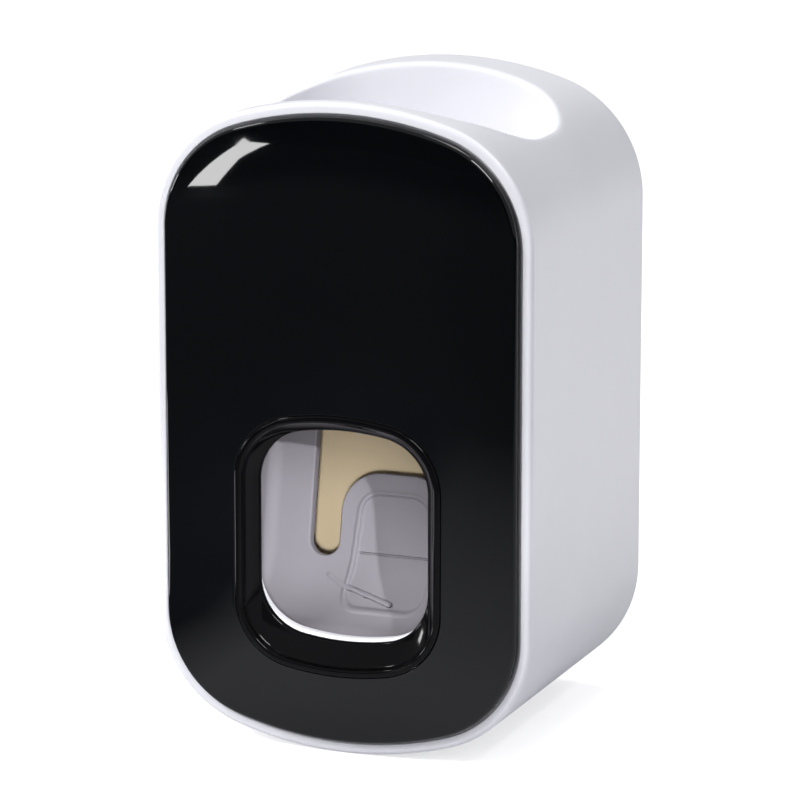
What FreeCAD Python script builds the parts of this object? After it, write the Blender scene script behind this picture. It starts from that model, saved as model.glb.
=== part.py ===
import FreeCAD, Part
import math
import os

import Sketcher

# Wall-mounted toothpaste dispenser, as a parametric document in millimetres.
# The origin is the centre of the wall face. X is right seen from the front, +Y runs into the wall
# and +Z is up, so the front looks along -Y. Half the case height lies above z = 0 and half below.

V = FreeCAD.Vector

# Driving sizes, one sheet cell each
SIZES = {
    # case: a tube of three-arc section, closed by the bowl on top
    "case_width": 62,
    "wall": 1.8,
    "corner_radius": 19,
    "crown_radius": 59,
    "rear_gap": 0.8,
    "rear_edge": 0.8,
    "fit_gap": 0.1,
    "overrun": 6,
    # bowl that takes the neck of the tube
    "bowl_depth": 16,
    "bowl_side_margin": 6.6,
    "bowl_wall": 2.2,
    "bowl_rear_margin": 9,
    "bowl_corner": 12,
    "bowl_crown": 52,
    "bowl_floor_fillet": 5,
    "rim_fillet": 0.9,
    # front frame, gloss panel and window
    "frame_depth": 1.6,
    "rim_width": 1.62,
    "recess_depth": 0.4,
    "skirt_depth": 3,
    "skirt_wall": 1.4,
    "panel_rise": 2,
    "panel_wall": 1.8,
    "panel_skirt": 1.5,
    "panel_edge": 1.4,
    "stud_radius": 1.2,
    "window_width": 28,
    "window_height": 33.5,
    "window_corner": 8.5,
    "window_crown": 40,
    "lip_side": 3,
    "lip_top": 2.8,
    "lip_bottom": 4.8,
    "lip_corner": 10.5,
    "lip_crown": 44,
    "lip_rise": 0.3,
    "lip_land": 0.5,
    "funnel_depth": 3.2,
    "collar_wall": 1.3,
    "collar_seat": 1.3,
    "liner_lap": 0.4,
    "liner_wall": 2.6,
    "liner_depth": 2.9,
    "sill": 17.7,
    # pump frame, from the deck under the bowl down to the nozzle shelf
    "boss_height": 3.5,
    "boss_radius": 2.8,
    "deck": 2,
    "front_clearance": 3.1,
    "front_wall": 2,
    "anvil": 1.5,
    "anvil_margin": 1.2,
    "shelf": 2,
    "shelf_half_width": 12,
    "case_clearance": 2.2,
    "ear": 2.5,
    "ear_reach": 6,
    "ear_drop": 5,
    "window_drop": 2.3,
    "stop_tab": 1.2,
    "stop_tab_half_width": 6,
    "deck_screw_front": 9,
    "deck_screw_rear": 15,
    "deck_screw_inset": 6.4,
    # bladder, its clamps and valves
    "bladder_radius": 8.5,
    "bladder_wall": 1.5,
    "bladder_length": 21.7,
    "bladder_gap": 0.3,
    "spigot_length": 4.4,
    "clamp_wall": 1.35,
    "clamp_height": 3.2,
    "clamp_offset": 0.3,
    "slip_gap": 0.05,
    "seat_flange": 1.5,
    "spigot_wall": 1.6,
    "web": 1.5,
    "umbrella_radius": 4.6,
    "umbrella_disc": 0.8,
    "umbrella_stem": 1,
    "flow_hole": 0.7,
    "flow_circle": 3,
    "neck_radius": 6,
    "seal_wall": 2.5,
    "seal_flange": 2.5,
    "seal_rise": 4.5,
    "seal_lead": 0.8,
    "outlet_flange": 1.5,
    "outlet_radius": 5,
    "outlet_bore": 3.2,
    "outlet_tip": 4,
    "outlet_drop": 3.1,
    "duckbill_wall": 1.1,
    "duckbill_length": 3.2,
    "duckbill_grip": 1.6,
    "slit": 0.3,
    # push lever, drawn upright in its own frame and then leaned
    "lean": 10.6,
    "pivot_drop": 0.5,
    "pivot_setback": 13,
    "plate_set": 3.64,
    "plate": 2,
    "lever_side_gap": 1.5,
    "lever_wall": 1.5,
    "side_depth": 6,
    "side_drop": 3,
    "floor_wall": 1.8,
    "floor_fall": 1,
    "floor_setback": 0.8,
    "scoop_fillet": 8,
    "corner_fillet": 4,
    "tongue_half_width": 9.2,
    "tongue_length": 21.5,
    "tongue_corner": 5.5,
    "slot_width": 5,
    "slot_rise": 7.3,
    "crossbar_drop": 4,
    "crossbar_rise": 1,
    "niche_rise": 2.8,
    "niche_height": 15.2,
    "niche_top": 6.4,
    "niche_foot": 8,
    "niche_depth": 1.1,
    "hub_radius": 3.2,
    "hub_length": 4.2,
    "hub_gap": 0.3,
    "arm_half_width": 6,
    "arm_set": 1.2,
    "arm": 2.5,
    "arm_reach": 15,
    "presser_height": 4.6,
    "presser_rise": 11.5,
    # pivot pin, clip and rest stop
    "pin_radius": 1.5,
    "pin_play": 0.05,
    "pin_head": 1,
    "pin_head_radius": 2.6,
    "clip": 0.6,
    "clip_radius": 3,
    "clip_groove": 0.35,
    "clip_mouth": 1.1,
    "bumper_radius": 2,
    "bumper_play": 0.2,
    # back cover, screws and wall plate
    "rear_swing": 15.5,
    "cover": 2,
    "cover_boss": 9,
    "cover_boss_radius": 3,
    "cover_boss_inset": 2.9,
    "wall_clearance": 1,
    "plate_thickness": 2.5,
    "pad_thickness": 1,
    "plate_half_width": 17,
    "plate_half_height": 36,
    "plate_drop": 3,
    "plate_corner": 5,
    "pad_inset": 1,
    "hook_spacing": 12,
    "hook_row": 30,
    "hook_width": 6,
    "hook_stem": 3,
    "hook_finger": 5,
    "hook_thickness": 1.6,
    "hook_play": 0.3,
    "hook_seat": 0.15,
    "lift_travel": 5.5,
    # screws
    "screw_radius": 1.15,
    "screw_head_radius": 2.2,
    "screw_head": 1.3,
    "screw_length": 6.4,
    "screw_play": 0.05,
    "recess_width": 0.7,
    "recess": 0.6,
    "screw_recess_half": 1.3,
}

doc = FreeCAD.newDocument("toothpaste_dispenser")
sheet = doc.addObject("Spreadsheet::Sheet", "Sizes")
for row, (alias, number) in enumerate(SIZES.items(), start=1):
    sheet.set(f"B{row}", str(number))
    sheet.setAlias(f"B{row}", alias)
doc.recompute()


class Size:
    """A length or an angle: its number now, and the words that the document works it out from."""

    def __init__(self, number, words):
        self.number = float(number)
        self.words = words

    def __add__(self, other):
        other = as_size(other)
        return Size(self.number + other.number, f"({self.words} + {other.words})")

    def __sub__(self, other):
        other = as_size(other)
        return Size(self.number - other.number, f"({self.words} - {other.words})")

    def __mul__(self, other):
        other = as_size(other)
        return Size(self.number * other.number, f"({self.words} * {other.words})")

    def __truediv__(self, other):
        other = as_size(other)
        return Size(self.number / other.number, f"({self.words} / {other.words})")

    def __neg__(self):
        return Size(-self.number, f"(0 - {self.words})")


def as_size(value):
    return value if isinstance(value, Size) else Size(value, repr(float(value)))


def cell(alias):
    return Size(sheet.get(alias), "Sizes." + alias)


def root(size):
    return Size(math.sqrt(size.number), f"sqrt({size.words})")


def cosine(angle):
    return Size(math.cos(math.radians(angle.number)), f"cos({angle.words} * 1 deg)")


def sine(angle):
    return Size(math.sin(math.radians(angle.number)), f"sin({angle.words} * 1 deg)")


def bind(item, path, size):
    """Ties a property to the sheet."""
    item.setExpression(path, as_size(size).words)


# Heights above the middle of the case, from the top of the case down
case_height = (
    cell("bowl_depth") + cell("wall") + cell("boss_height") + cell("deck") + cell("bladder_length")
    + cell("outlet_flange") + cell("shelf") + cell("window_drop") + cell("window_height") + cell("sill")
)
half_height = case_height / 2
bowl_floor = half_height - cell("bowl_depth")
bowl_underside = bowl_floor - cell("wall")
deck_top = bowl_underside - cell("boss_height")
deck_bottom = deck_top - cell("deck")
bladder_bottom = deck_bottom - cell("bladder_length")
shelf_top = bladder_bottom - cell("outlet_flange")
shelf_bottom = shelf_top - cell("shelf")
nozzle_end = shelf_bottom - cell("outlet_drop")
window_top = shelf_bottom - cell("window_drop")
window_bottom = window_top - cell("window_height")
window_middle = (window_top + window_bottom) / 2
pivot_z = shelf_top - cell("pivot_drop")

# Distances in front of the wall
pump_setback = (
    cell("frame_depth") + cell("front_clearance") + cell("front_wall") + cell("anvil")
    + cell("bladder_gap") + cell("bladder_radius")
)
cover_setback = pump_setback + cell("pivot_setback") + cell("rear_swing")
rear_recess = cell("wall_clearance") + cell("plate_thickness") + cell("pad_thickness")
front = cover_setback + cell("cover") + rear_recess
cover_front = front - cover_setback
cover_back = cover_front - cell("cover")
case_front = front - cell("frame_depth")
pump_y = front - pump_setback
pivot_y = pump_y - cell("pivot_setback")

# Widths from the middle plane
half_width = cell("case_width") / 2
inner_half = half_width - cell("wall")
frame_half = inner_half - cell("case_clearance")
ear_inner = frame_half - cell("ear")
lever_half = ear_inner - cell("lever_side_gap")
lever_inner = lever_half - cell("lever_wall")
bowl_half = half_width - cell("bowl_side_margin")
throat_half = cell("window_width") / 2

# Pump frame
frame_front = case_front - cell("front_clearance")
wall_back = frame_front - cell("front_wall")
shelf_back = pump_y - cell("bladder_radius")
deck_back = pivot_y - cell("ear_reach")
clip_reach = cell("slip_gap") + cell("clip") * 2

# Push lever: places in its own frame, whose origin is the pivot and whose plate stands upright
lean = cell("lean")
plate_front = -cell("plate_set")
plate_back = plate_front + cell("plate")
lever_base = -(pivot_z - window_bottom) / cosine(lean)
sill_setback = cell("frame_depth") + cell("liner_depth") + cell("floor_setback")
sill_reach = sill_setback - pump_setback - cell("pivot_setback")
sill_fall = window_bottom - cell("floor_fall") - pivot_z
sill_y = sill_reach * cosine(lean) - sill_fall * sine(lean)
sill_z = sill_reach * sine(lean) + sill_fall * cosine(lean)
presser_reach = cell("bladder_radius") + cell("bladder_gap") - cell("pivot_setback")
presser_face = (presser_reach - cell("presser_rise") * sine(lean)) / cosine(lean)

# Rest stop, between the frame's tab and the lever's arm
bumper_z = pivot_z + cell("presser_rise")
arm_rise = cell("presser_rise") + cell("bumper_radius")
arm_back_y = pivot_y - (cell("arm") - cell("arm_set") + arm_rise * sine(lean)) / cosine(lean)
bumper_base = deck_back + cell("stop_tab")
bumper_thickness = arm_back_y - cell("bumper_play") - bumper_base


# Documents and sketches
def new_body(name, y=None, z=None):
    """A body with its own label, whose frame stands at y in front of the wall and z above the middle."""
    body = doc.addObject("PartDesign::Body", name)
    body.Label = name
    if y is not None:
        bind(body, "Placement.Base.y", -y)
    if z is not None:
        bind(body, "Placement.Base.z", z)
    return body


def origin_plane(body, role):
    return next(item for item in body.Origin.OriginFeatures if item.Role == role)


def sketch_on(body, name, role, offset=None):
    """An empty sketch on a plane of the body's origin, moved along the plane's normal by offset."""
    sketch = body.newObject("Sketcher::SketchObject", name)
    sketch.AttachmentSupport = [(origin_plane(body, role), "")]
    sketch.MapMode = "FlatFace"
    if offset is not None:
        bind(sketch, "AttachmentOffset.Base.z", offset)
    return sketch


def front_sketch(body, name, distance):
    """A sketch of X across and Z up, at a distance towards the front."""
    return sketch_on(body, name, "XZ_Plane", distance)


def level_sketch(body, name, height=None):
    """A sketch of X across and Y back, at a height."""
    return sketch_on(body, name, "XY_Plane", height)


def side_sketch(body, name, distance=None):
    """A sketch of Y back and Z up, at a distance to the right."""
    return sketch_on(body, name, "YZ_Plane", distance)


def fix(sketch, edge, end, x, y):
    """Holds a point of the sketch at x and y."""
    for kind, axis, place in (("DistanceX", -2, as_size(x)), ("DistanceY", -1, as_size(y))):
        if place.words == "0.0":
            sketch.addConstraint(Sketcher.Constraint("PointOnObject", edge, end, axis))
        else:
            index = sketch.addConstraint(Sketcher.Constraint(kind, -1, 1, edge, end, place.number))
            bind(sketch, f"Constraints[{index}]", place)


def set_radius(sketch, edge, radius):
    index = sketch.addConstraint(Sketcher.Constraint("Radius", edge, radius.number))
    bind(sketch, f"Constraints[{index}]", radius)


def circle(sketch, x, y, radius):
    centre = V(as_size(x).number, as_size(y).number, 0)
    edge = sketch.addGeometry(Part.Circle(centre, V(0, 0, 1), radius.number))
    set_radius(sketch, edge, radius)
    fix(sketch, edge, 3, x, y)


def polygon(sketch, corners):
    """A closed line through the corners."""
    points = [V(as_size(x).number, as_size(y).number, 0) for x, y in corners]
    first = sketch.GeometryCount
    for start, end in zip(points, points[1:] + points[:1]):
        sketch.addGeometry(Part.LineSegment(start, end))
    last = sketch.GeometryCount - 1
    for edge, (x, y) in enumerate(corners, start=first):
        following = first if edge == last else edge + 1
        sketch.addConstraint(Sketcher.Constraint("Coincident", edge, 2, following, 1))
        fix(sketch, edge, 1, x, y)


def rectangle(sketch, x0, y0, x1, y1):
    polygon(sketch, [(x0, y0), (x1, y0), (x1, y1), (x0, y1)])


def unit(start, end):
    """The direction of a level or upright line, as -1, 0 or 1 along each axis."""
    across = end[0].number - start[0].number
    along = end[1].number - start[1].number
    if abs(across) > abs(along):
        return (math.copysign(1, across), 0)
    return (0, math.copysign(1, along))


def arc_between(centre, radius, start, end, turn):
    """A circular arc of the sketch, which a left turn draws from start to end and a right turn back."""
    angles = [math.atan2(point.y - centre.y, point.x - centre.x) for point in (start, end)]
    if turn < 0:
        angles.reverse()
    return Part.ArcOfCircle(Part.Circle(centre, V(0, 0, 1), radius), angles[0], angles[1])


def rounded(sketch, corners):
    """A closed path of level and upright lines, joined at each corner (x, y, radius) by a tangent arc."""
    corners = [tuple(as_size(value) for value in corner) for corner in corners]
    count = len(corners)
    first = sketch.GeometryCount
    entries, exits, arcs, turns = [], [], [], []
    for index, (x, y, radius) in enumerate(corners):
        arriving = unit(corners[index - 1], corners[index])
        leaving = unit(corners[index], corners[(index + 1) % count])
        turn = arriving[0] * leaving[1] - arriving[1] * leaving[0]
        centre = (x + radius * (leaving[0] - arriving[0]), y + radius * (leaving[1] - arriving[1]))
        reach = radius.number
        entries.append(V(x.number - reach * arriving[0], y.number - reach * arriving[1], 0))
        exits.append(V(x.number + reach * leaving[0], y.number + reach * leaving[1], 0))
        middle = V(centre[0].number, centre[1].number, 0)
        arcs.append((centre, radius, arc_between(middle, reach, entries[-1], exits[-1], turn)))
        turns.append(turn)
    for centre, radius, arc in arcs:
        sketch.addGeometry(arc)
    for index in range(count):
        sketch.addGeometry(Part.LineSegment(exits[index], entries[(index + 1) % count]))
    for index, (centre, radius, arc) in enumerate(arcs):
        edge = first + index
        set_radius(sketch, edge, radius)
        fix(sketch, edge, 3, centre[0], centre[1])
        start, end = (1, 2) if turns[index] > 0 else (2, 1)
        before = first + count + (index - 1) % count
        after = first + count + index
        sketch.addConstraint(Sketcher.Constraint("Tangent", before, 2, edge, start))
        sketch.addConstraint(Sketcher.Constraint("Tangent", edge, end, after, 1))


def corner_centre(half_x, half_y, corner, crown):
    """How far across and how high the centres of the corner arcs of the case's form lie."""
    across = half_x - corner
    drop = root((crown - corner) * (crown - corner) - across * across)
    return across, half_y - crown + drop


def outline(sketch, half_x, half_y, corner, crown, x=0, y=0):
    """The case's form: a wide crown arc above and below, four corner arcs and two upright sides."""
    x, y = as_size(x), as_size(y)
    across, rise = corner_centre(half_x, half_y, corner, crown)
    a, b, r1, r2 = half_x.number, rise.number, corner.number, crown.number
    top = half_y.number - r2
    x0, y0 = x.number, y.number
    lean_angle = math.atan2(b - top, across.number)
    right, quarter, turn = 0.0, math.pi / 2, math.pi
    spans = [
        (across.number, b, r1, right, lean_angle),
        (0, top, r2, lean_angle, turn - lean_angle),
        (-across.number, b, r1, turn - lean_angle, turn),
        (-across.number, -b, r1, turn, turn + lean_angle),
        (0, -top, r2, turn + lean_angle, 2 * turn - lean_angle),
        (across.number, -b, r1, 2 * turn - lean_angle, 2 * turn),
    ]
    first = sketch.GeometryCount
    for cx, cy, radius, start, end in spans:
        flat = Part.Circle(V(x0 + cx, y0 + cy, 0), V(0, 0, 1), radius)
        sketch.addGeometry(Part.ArcOfCircle(flat, start, end))
    left_side = sketch.addGeometry(Part.LineSegment(V(x0 - a, y0 + b, 0), V(x0 - a, y0 - b, 0)))
    right_side = sketch.addGeometry(Part.LineSegment(V(x0 + a, y0 - b, 0), V(x0 + a, y0 + b, 0)))
    loop = [first, first + 1, first + 2, left_side, first + 3, first + 4, first + 5, right_side]
    for edge, following in zip(loop, loop[1:] + loop[:1]):
        sketch.addConstraint(Sketcher.Constraint("Tangent", edge, 2, following, 1))
    centres = [(first, across, rise), (first + 2, -across, rise)]
    centres += [(first + 3, -across, -rise), (first + 5, across, -rise)]
    for edge, cx, cy in centres:
        set_radius(sketch, edge, corner)
        fix(sketch, edge, 3, shifted(x, cx), shifted(y, cy))
    for edge in (first + 1, first + 4):
        set_radius(sketch, edge, crown)


def shifted(base, size):
    return size if base.words == "0.0" else base + size


def case_outline(sketch, inset=None):
    """The case's section, or the same form moved inwards all round by inset."""
    sizes = [half_width, half_height, cell("corner_radius"), cell("crown_radius")]
    if inset is not None:
        sizes = [size - inset for size in sizes]
    outline(sketch, *sizes)


def window_outline(sketch, grow=None):
    """The throat of the window, or the same form moved outwards all round by grow."""
    sizes = [throat_half, cell("window_height") / 2, cell("window_corner"), cell("window_crown")]
    if grow is not None:
        sizes = [size + grow for size in sizes]
    outline(sketch, *sizes, y=window_middle)


def lip_outline(sketch, grow=None):
    """The outer lip of the window's funnel."""
    middle = window_middle + (cell("lip_top") - cell("lip_bottom")) / 2
    tall = (cell("window_height") + cell("lip_top") + cell("lip_bottom")) / 2
    sizes = [throat_half + cell("lip_side"), tall, cell("lip_corner"), cell("lip_crown")]
    if grow is not None:
        sizes = [size + grow for size in sizes]
    outline(sketch, *sizes, y=middle)


# Features
def feature(kind, body, name, profile, length=None, reverse=False, both=False):
    item = body.newObject("PartDesign::" + kind, name)
    item.Profile = profile
    if length is not None:
        bind(item, "Length", length)
    item.Reversed = reverse
    if both:
        item.SideType = "Symmetric"
    return item


def pad(body, name, profile, length, reverse=False, both=False):
    return feature("Pad", body, name, profile, length, reverse, both)


def pocket(body, name, profile, length, reverse=False, both=False):
    return feature("Pocket", body, name, profile, length, reverse, both)


def revolve(body, name, profile):
    """The profile, drawn as radius and height, turned once round the upright axis."""
    item = body.newObject("PartDesign::Revolution", name)
    item.Profile = profile
    item.ReferenceAxis = (profile, ["V_Axis"])
    item.Angle = 360
    return item


def loft(body, name, kind, profile, end):
    item = body.newObject("PartDesign::" + kind, name)
    item.Profile = profile
    item.Sections = [end]
    item.Ruled = True
    return item


def mirror(body, name, items, role="YZ_Plane"):
    item = body.newObject("PartDesign::Mirrored", name)
    item.Originals = items
    item.MirrorPlane = (origin_plane(body, role), [""])
    body.Tip = item
    return item


def fillet(body, name, base, radius, chosen):
    """Rounds the edges of base that the test chooses."""
    doc.recompute()
    names = [f"Edge{n}" for n, edge in enumerate(base.Shape.Edges, start=1) if chosen(edge)]
    item = body.newObject("PartDesign::Fillet", name)
    item.Base = (base, names)
    bind(item, "Radius", radius)
    return item


def ring_profile(sketch, inner, outer, low, high):
    rectangle(sketch, inner, low, outer, high)


def near(value, size):
    return abs(value - as_size(size).number) < cell("slip_gap").number


# Wall plate and its adhesive pad
def make_wall_plate():
    body = new_body("wall_plate", z=-cell("plate_drop"))
    face = front_sketch(body, "PlateFace", cell("pad_thickness"))
    wide, tall, corner = cell("plate_half_width"), cell("plate_half_height"), cell("plate_corner")
    rounded(face, [(-wide, -tall, corner), (wide, -tall, corner), (wide, tall, corner), (-wide, tall, corner)])
    pad(body, "Plate", face, cell("plate_thickness"))
    root_y = cell("pad_thickness") + cell("plate_thickness") / 2
    finger_back = cover_front + cell("hook_play")
    finger_front = finger_back + cell("hook_thickness")
    side = side_sketch(body, "HookSide", cell("hook_spacing") - cell("hook_width") / 2)
    for row in (cell("hook_row"), -cell("hook_row")):
        under = row - cell("hook_stem")
        tip = row + cell("hook_finger")
        hook = [(-root_y, under), (-root_y, row), (-finger_back, row)]
        hook += [(-finger_back, tip), (-finger_front, tip), (-finger_front, under)]
        polygon(side, hook)
    hooks = pad(body, "Hooks", side, cell("hook_width"))
    mirror(body, "HooksLeft", [hooks])


def make_adhesive_pad():
    body = new_body("adhesive_pad", z=-cell("plate_drop"))
    face = front_sketch(body, "PadFace", None)
    wide = cell("plate_half_width") - cell("pad_inset")
    tall = cell("plate_half_height") - cell("pad_inset")
    corner = cell("plate_corner") - cell("pad_inset")
    rounded(face, [(-wide, -tall, corner), (wide, -tall, corner), (wide, tall, corner), (-wide, tall, corner)])
    pad(body, "Foam", face, cell("pad_thickness"))


# Back cover, with a slot for each hook, and its screws
cover_screw_x = inner_half - cell("cover_boss_inset")
_, cover_screw_z = corner_centre(half_width, half_height, cell("corner_radius"), cell("crown_radius"))


def four(x, z):
    return [(x, z), (-x, z), (-x, -z), (x, -z)]


def make_back_cover():
    body = new_body("back_cover")
    face = front_sketch(body, "CoverFace", cover_back)
    edge = cell("wall") + cell("fit_gap")
    case_outline(face, edge)
    pad(body, "Cover", face, cell("cover"))
    slots = front_sketch(body, "SlotFace", cover_front)
    reach = cell("hook_width") / 2 + cell("hook_play")
    fall = cell("hook_stem") + cell("lift_travel") + cell("hook_play")
    for column in (-cell("hook_spacing"), cell("hook_spacing")):
        for row in (cell("hook_row"), -cell("hook_row")):
            top = row - cell("plate_drop") + cell("hook_seat")
            rectangle(slots, column - reach, top - fall, column + reach, top)
    pocket(body, "Slots", slots, cell("cover") + cell("overrun"))
    holes = front_sketch(body, "ScrewFace", cover_front)
    for x, z in four(cover_screw_x, cover_screw_z):
        circle(holes, x, z, cell("screw_radius") + cell("screw_play"))
    pocket(body, "ScrewHoles", holes, cell("cover") + cell("overrun"))


def screw_profile(body):
    """Half a screw with its head's top at the origin and its shank pointing down."""
    profile = front_sketch(body, "ScrewHalf", None)
    head, shank = cell("screw_head_radius"), cell("screw_radius")
    flat = -cell("screw_head")
    tip = flat - cell("screw_length")
    taper = shank / 2
    crown = head - cell("recess")
    polygon(profile, [(0, 0), (crown, 0), (head, -cell("recess")), (head, flat), (shank, flat),
                      (shank, tip + taper), (taper, tip), (0, tip)])
    turned = revolve(body, "Screw", profile)
    cross = level_sketch(body, "CrossRecess")
    half, wide = cell("screw_recess_half"), cell("recess_width") / 2
    inner = [(wide, wide), (wide, half), (-wide, half), (-wide, wide), (-half, wide), (-half, -wide)]
    inner += [(-wide, -wide), (-wide, -half), (wide, -half), (wide, -wide), (half, -wide), (half, wide)]
    polygon(cross, inner)
    recess = pocket(body, "Recess", cross, cell("recess"))
    return [turned, recess]


def row_of_screws(body, items, axis, pitch, depth_axis, depth_pitch):
    """Repeats a screw in two directions."""
    body.AllowCompound = True
    pattern = body.newObject("PartDesign::LinearPattern", "Row")
    pattern.Originals = items
    pattern.Direction = (items[0].Profile[0], [axis])
    bind(pattern, "Length", pitch)
    pattern.Occurrences = 2
    pattern.Direction2 = (origin_plane(body, depth_axis), [""])
    bind(pattern, "Length2", depth_pitch)
    pattern.Occurrences2 = 2
    body.Tip = pattern


def make_back_cover_screws():
    """Screws whose heads face the wall: their frame is turned so that down points to the front."""
    body = new_body("back_cover_screws", y=cover_back - cell("screw_head"), z=-cover_screw_z)
    body.Placement.Rotation = FreeCAD.Rotation(V(1, 0, 0), -90)
    bind(body, "Placement.Base.x", -cover_screw_x)
    items = screw_profile(body)
    row_of_screws(body, items, "H_Axis", cover_screw_x * 2, "XZ_Plane", cover_screw_z * 2)


# Housing: the case tube with the bowl let into its crown
bowl_front = case_front - cell("wall")
bowl_back = cell("rear_gap") + cell("bowl_rear_margin")
bowl_centre = (bowl_front + bowl_back) / 2
bowl_half_depth = (bowl_front - bowl_back) / 2
deck_screw_x = bowl_half - cell("deck_screw_inset")
deck_screw_ys = (pump_y + cell("deck_screw_front"), pump_y - cell("deck_screw_rear"))


def bowl_outline(sketch, grow=None):
    sizes = [bowl_half, bowl_half_depth, cell("bowl_corner"), cell("bowl_crown")]
    if grow is not None:
        sizes = [size + grow for size in sizes]
    outline(sketch, *sizes, y=-bowl_centre)


def crown_height(x):
    """The height of the case's top at a distance from the middle plane."""
    corner, crown = cell("corner_radius").number, cell("crown_radius").number
    across, rise = corner_centre(half_width, half_height, cell("corner_radius"), cell("crown_radius"))
    if abs(x) < across.number * crown / (crown - corner):
        return half_height.number - crown + math.sqrt(crown**2 - x**2)
    return rise.number + math.sqrt(max(corner**2 - (abs(x) - across.number) ** 2, 0))


def on_bowl_mouth(edge):
    """Whether an edge runs along the case's top, clear of the front and the back."""
    middle = edge.valueAt((edge.FirstParameter + edge.LastParameter) / 2)
    points = [middle] + [vertex.Point for vertex in edge.Vertexes]
    on_top = all(near(point.z, crown_height(point.x)) for point in points)
    rear = cell("rear_gap") + cell("rear_edge") + cell("slip_gap")
    between = edge.BoundBox.YMin > -case_front.number and edge.BoundBox.YMax < -rear.number
    return on_top and between


def make_housing():
    hollow = new_body("housing_hollow")
    inside = front_sketch(hollow, "HollowFace", cell("rear_gap") - cell("overrun"))
    case_outline(inside, cell("wall"))
    pad(hollow, "Hollow", inside, front + cell("overrun"))
    block = level_sketch(hollow, "BowlBlock", bowl_underside)
    bowl_outline(block, cell("bowl_wall"))
    pocket(hollow, "BowlWall", block, cell("bowl_depth") + cell("overrun"), reverse=True)

    body = new_body("housing")
    section = front_sketch(body, "CaseFace", cell("rear_gap"))
    case_outline(section)
    tube = pad(body, "Case", section, case_front - cell("rear_gap"))
    rear = -cell("rear_gap")
    fillet(body, "RearEdge", tube, cell("rear_edge"),
           lambda edge: near(edge.BoundBox.YMin, rear) and near(edge.BoundBox.YMax, rear))
    doc.recompute()
    hollowed = body.newObject("PartDesign::Boolean", "Hollowed")
    hollowed.setObjects([hollow])
    hollowed.Type = "Cut"

    bosses = level_sketch(body, "DeckBosses", deck_top)
    for y in deck_screw_ys:
        for x in (deck_screw_x, -deck_screw_x):
            circle(bosses, x, -y, cell("boss_radius"))
    pad(body, "DeckBoss", bosses, cell("boss_height") + cell("wall") / 2)
    studs = front_sketch(body, "CoverBosses", cover_front)
    for x, z in four(cover_screw_x, cover_screw_z):
        circle(studs, x, z, cell("cover_boss_radius"))
    pad(body, "CoverBoss", studs, cell("cover_boss"))

    mouth = level_sketch(body, "BowlMouth", half_height + cell("overrun"))
    bowl_outline(mouth)
    bowl = pocket(body, "Bowl", mouth, cell("bowl_depth") + cell("overrun"))
    floor = bowl_floor
    rounded_bowl = fillet(body, "BowlFloor", bowl, cell("bowl_floor_fillet"),
                          lambda edge: near(edge.BoundBox.ZMin, floor) and near(edge.BoundBox.ZMax, floor))
    fillet(body, "BowlRim", rounded_bowl, cell("rim_fillet"), on_bowl_mouth)
    inlet = level_sketch(body, "InletFace", bowl_floor)
    circle(inlet, 0, -pump_y, cell("neck_radius") + cell("seal_wall") + cell("fit_gap"))
    pocket(body, "Inlet", inlet, cell("wall") + cell("overrun"))
    deck_holes = level_sketch(body, "DeckHoles", deck_top)
    for y in deck_screw_ys:
        for x in (deck_screw_x, -deck_screw_x):
            circle(deck_holes, x, -y, cell("screw_radius") + cell("screw_play"))
    drilled = cell("screw_length") - cell("deck") + cell("bladder_gap")
    pocket(body, "DeckHole", deck_holes, drilled, reverse=True)
    cover_holes = front_sketch(body, "CoverHoles", cover_front)
    for x, z in four(cover_screw_x, cover_screw_z):
        circle(cover_holes, x, z, cell("screw_radius") + cell("screw_play"))
    pocket(body, "CoverHole", cover_holes, cell("screw_length"), reverse=True)


# Front frame, gloss panel and window collar
STUD_SHARES = (0.74, 0.62)
stud_places = four(half_width * STUD_SHARES[0], half_height * STUD_SHARES[1])


def make_front_frame():
    body = new_body("front_frame")
    section = front_sketch(body, "FrameFace", case_front)
    case_outline(section)
    pad(body, "Frame", section, cell("frame_depth"))
    skirt = front_sketch(body, "SkirtFace", case_front)
    edge = cell("wall") + cell("fit_gap")
    case_outline(skirt, edge)
    case_outline(skirt, edge + cell("skirt_wall"))
    pad(body, "Skirt", skirt, cell("skirt_depth"), reverse=True)
    above = front_sketch(body, "BowlRelief", case_front)
    rectangle(above, -half_width, bowl_underside - cell("fit_gap"), half_width, half_height)
    pocket(body, "SkirtRelief", above, cell("skirt_depth") + cell("overrun"))
    liner = front_sketch(body, "LinerFace", case_front)
    window_outline(liner, cell("liner_wall") - cell("liner_lap"))
    pad(body, "Liner", liner, cell("liner_depth"), reverse=True)
    recess = front_sketch(body, "RecessFace", front)
    case_outline(recess, cell("rim_width"))
    pocket(body, "PanelRecess", recess, cell("recess_depth"))
    seat = front_sketch(body, "SeatFace", front)
    window_outline(seat, cell("collar_wall") + cell("fit_gap"))
    pocket(body, "CollarSeat", seat, cell("recess_depth") + cell("collar_seat"))
    throat = front_sketch(body, "ThroatFace", front)
    window_outline(throat, -cell("liner_lap"))
    pocket(body, "Throat", throat, cell("frame_depth") + cell("liner_depth") + cell("overrun"))
    holes = front_sketch(body, "StudHoles", front)
    for x, z in stud_places:
        circle(holes, x, z, cell("stud_radius") + cell("slip_gap"))
    pocket(body, "StudHole", holes, cell("frame_depth") + cell("overrun"))


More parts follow.
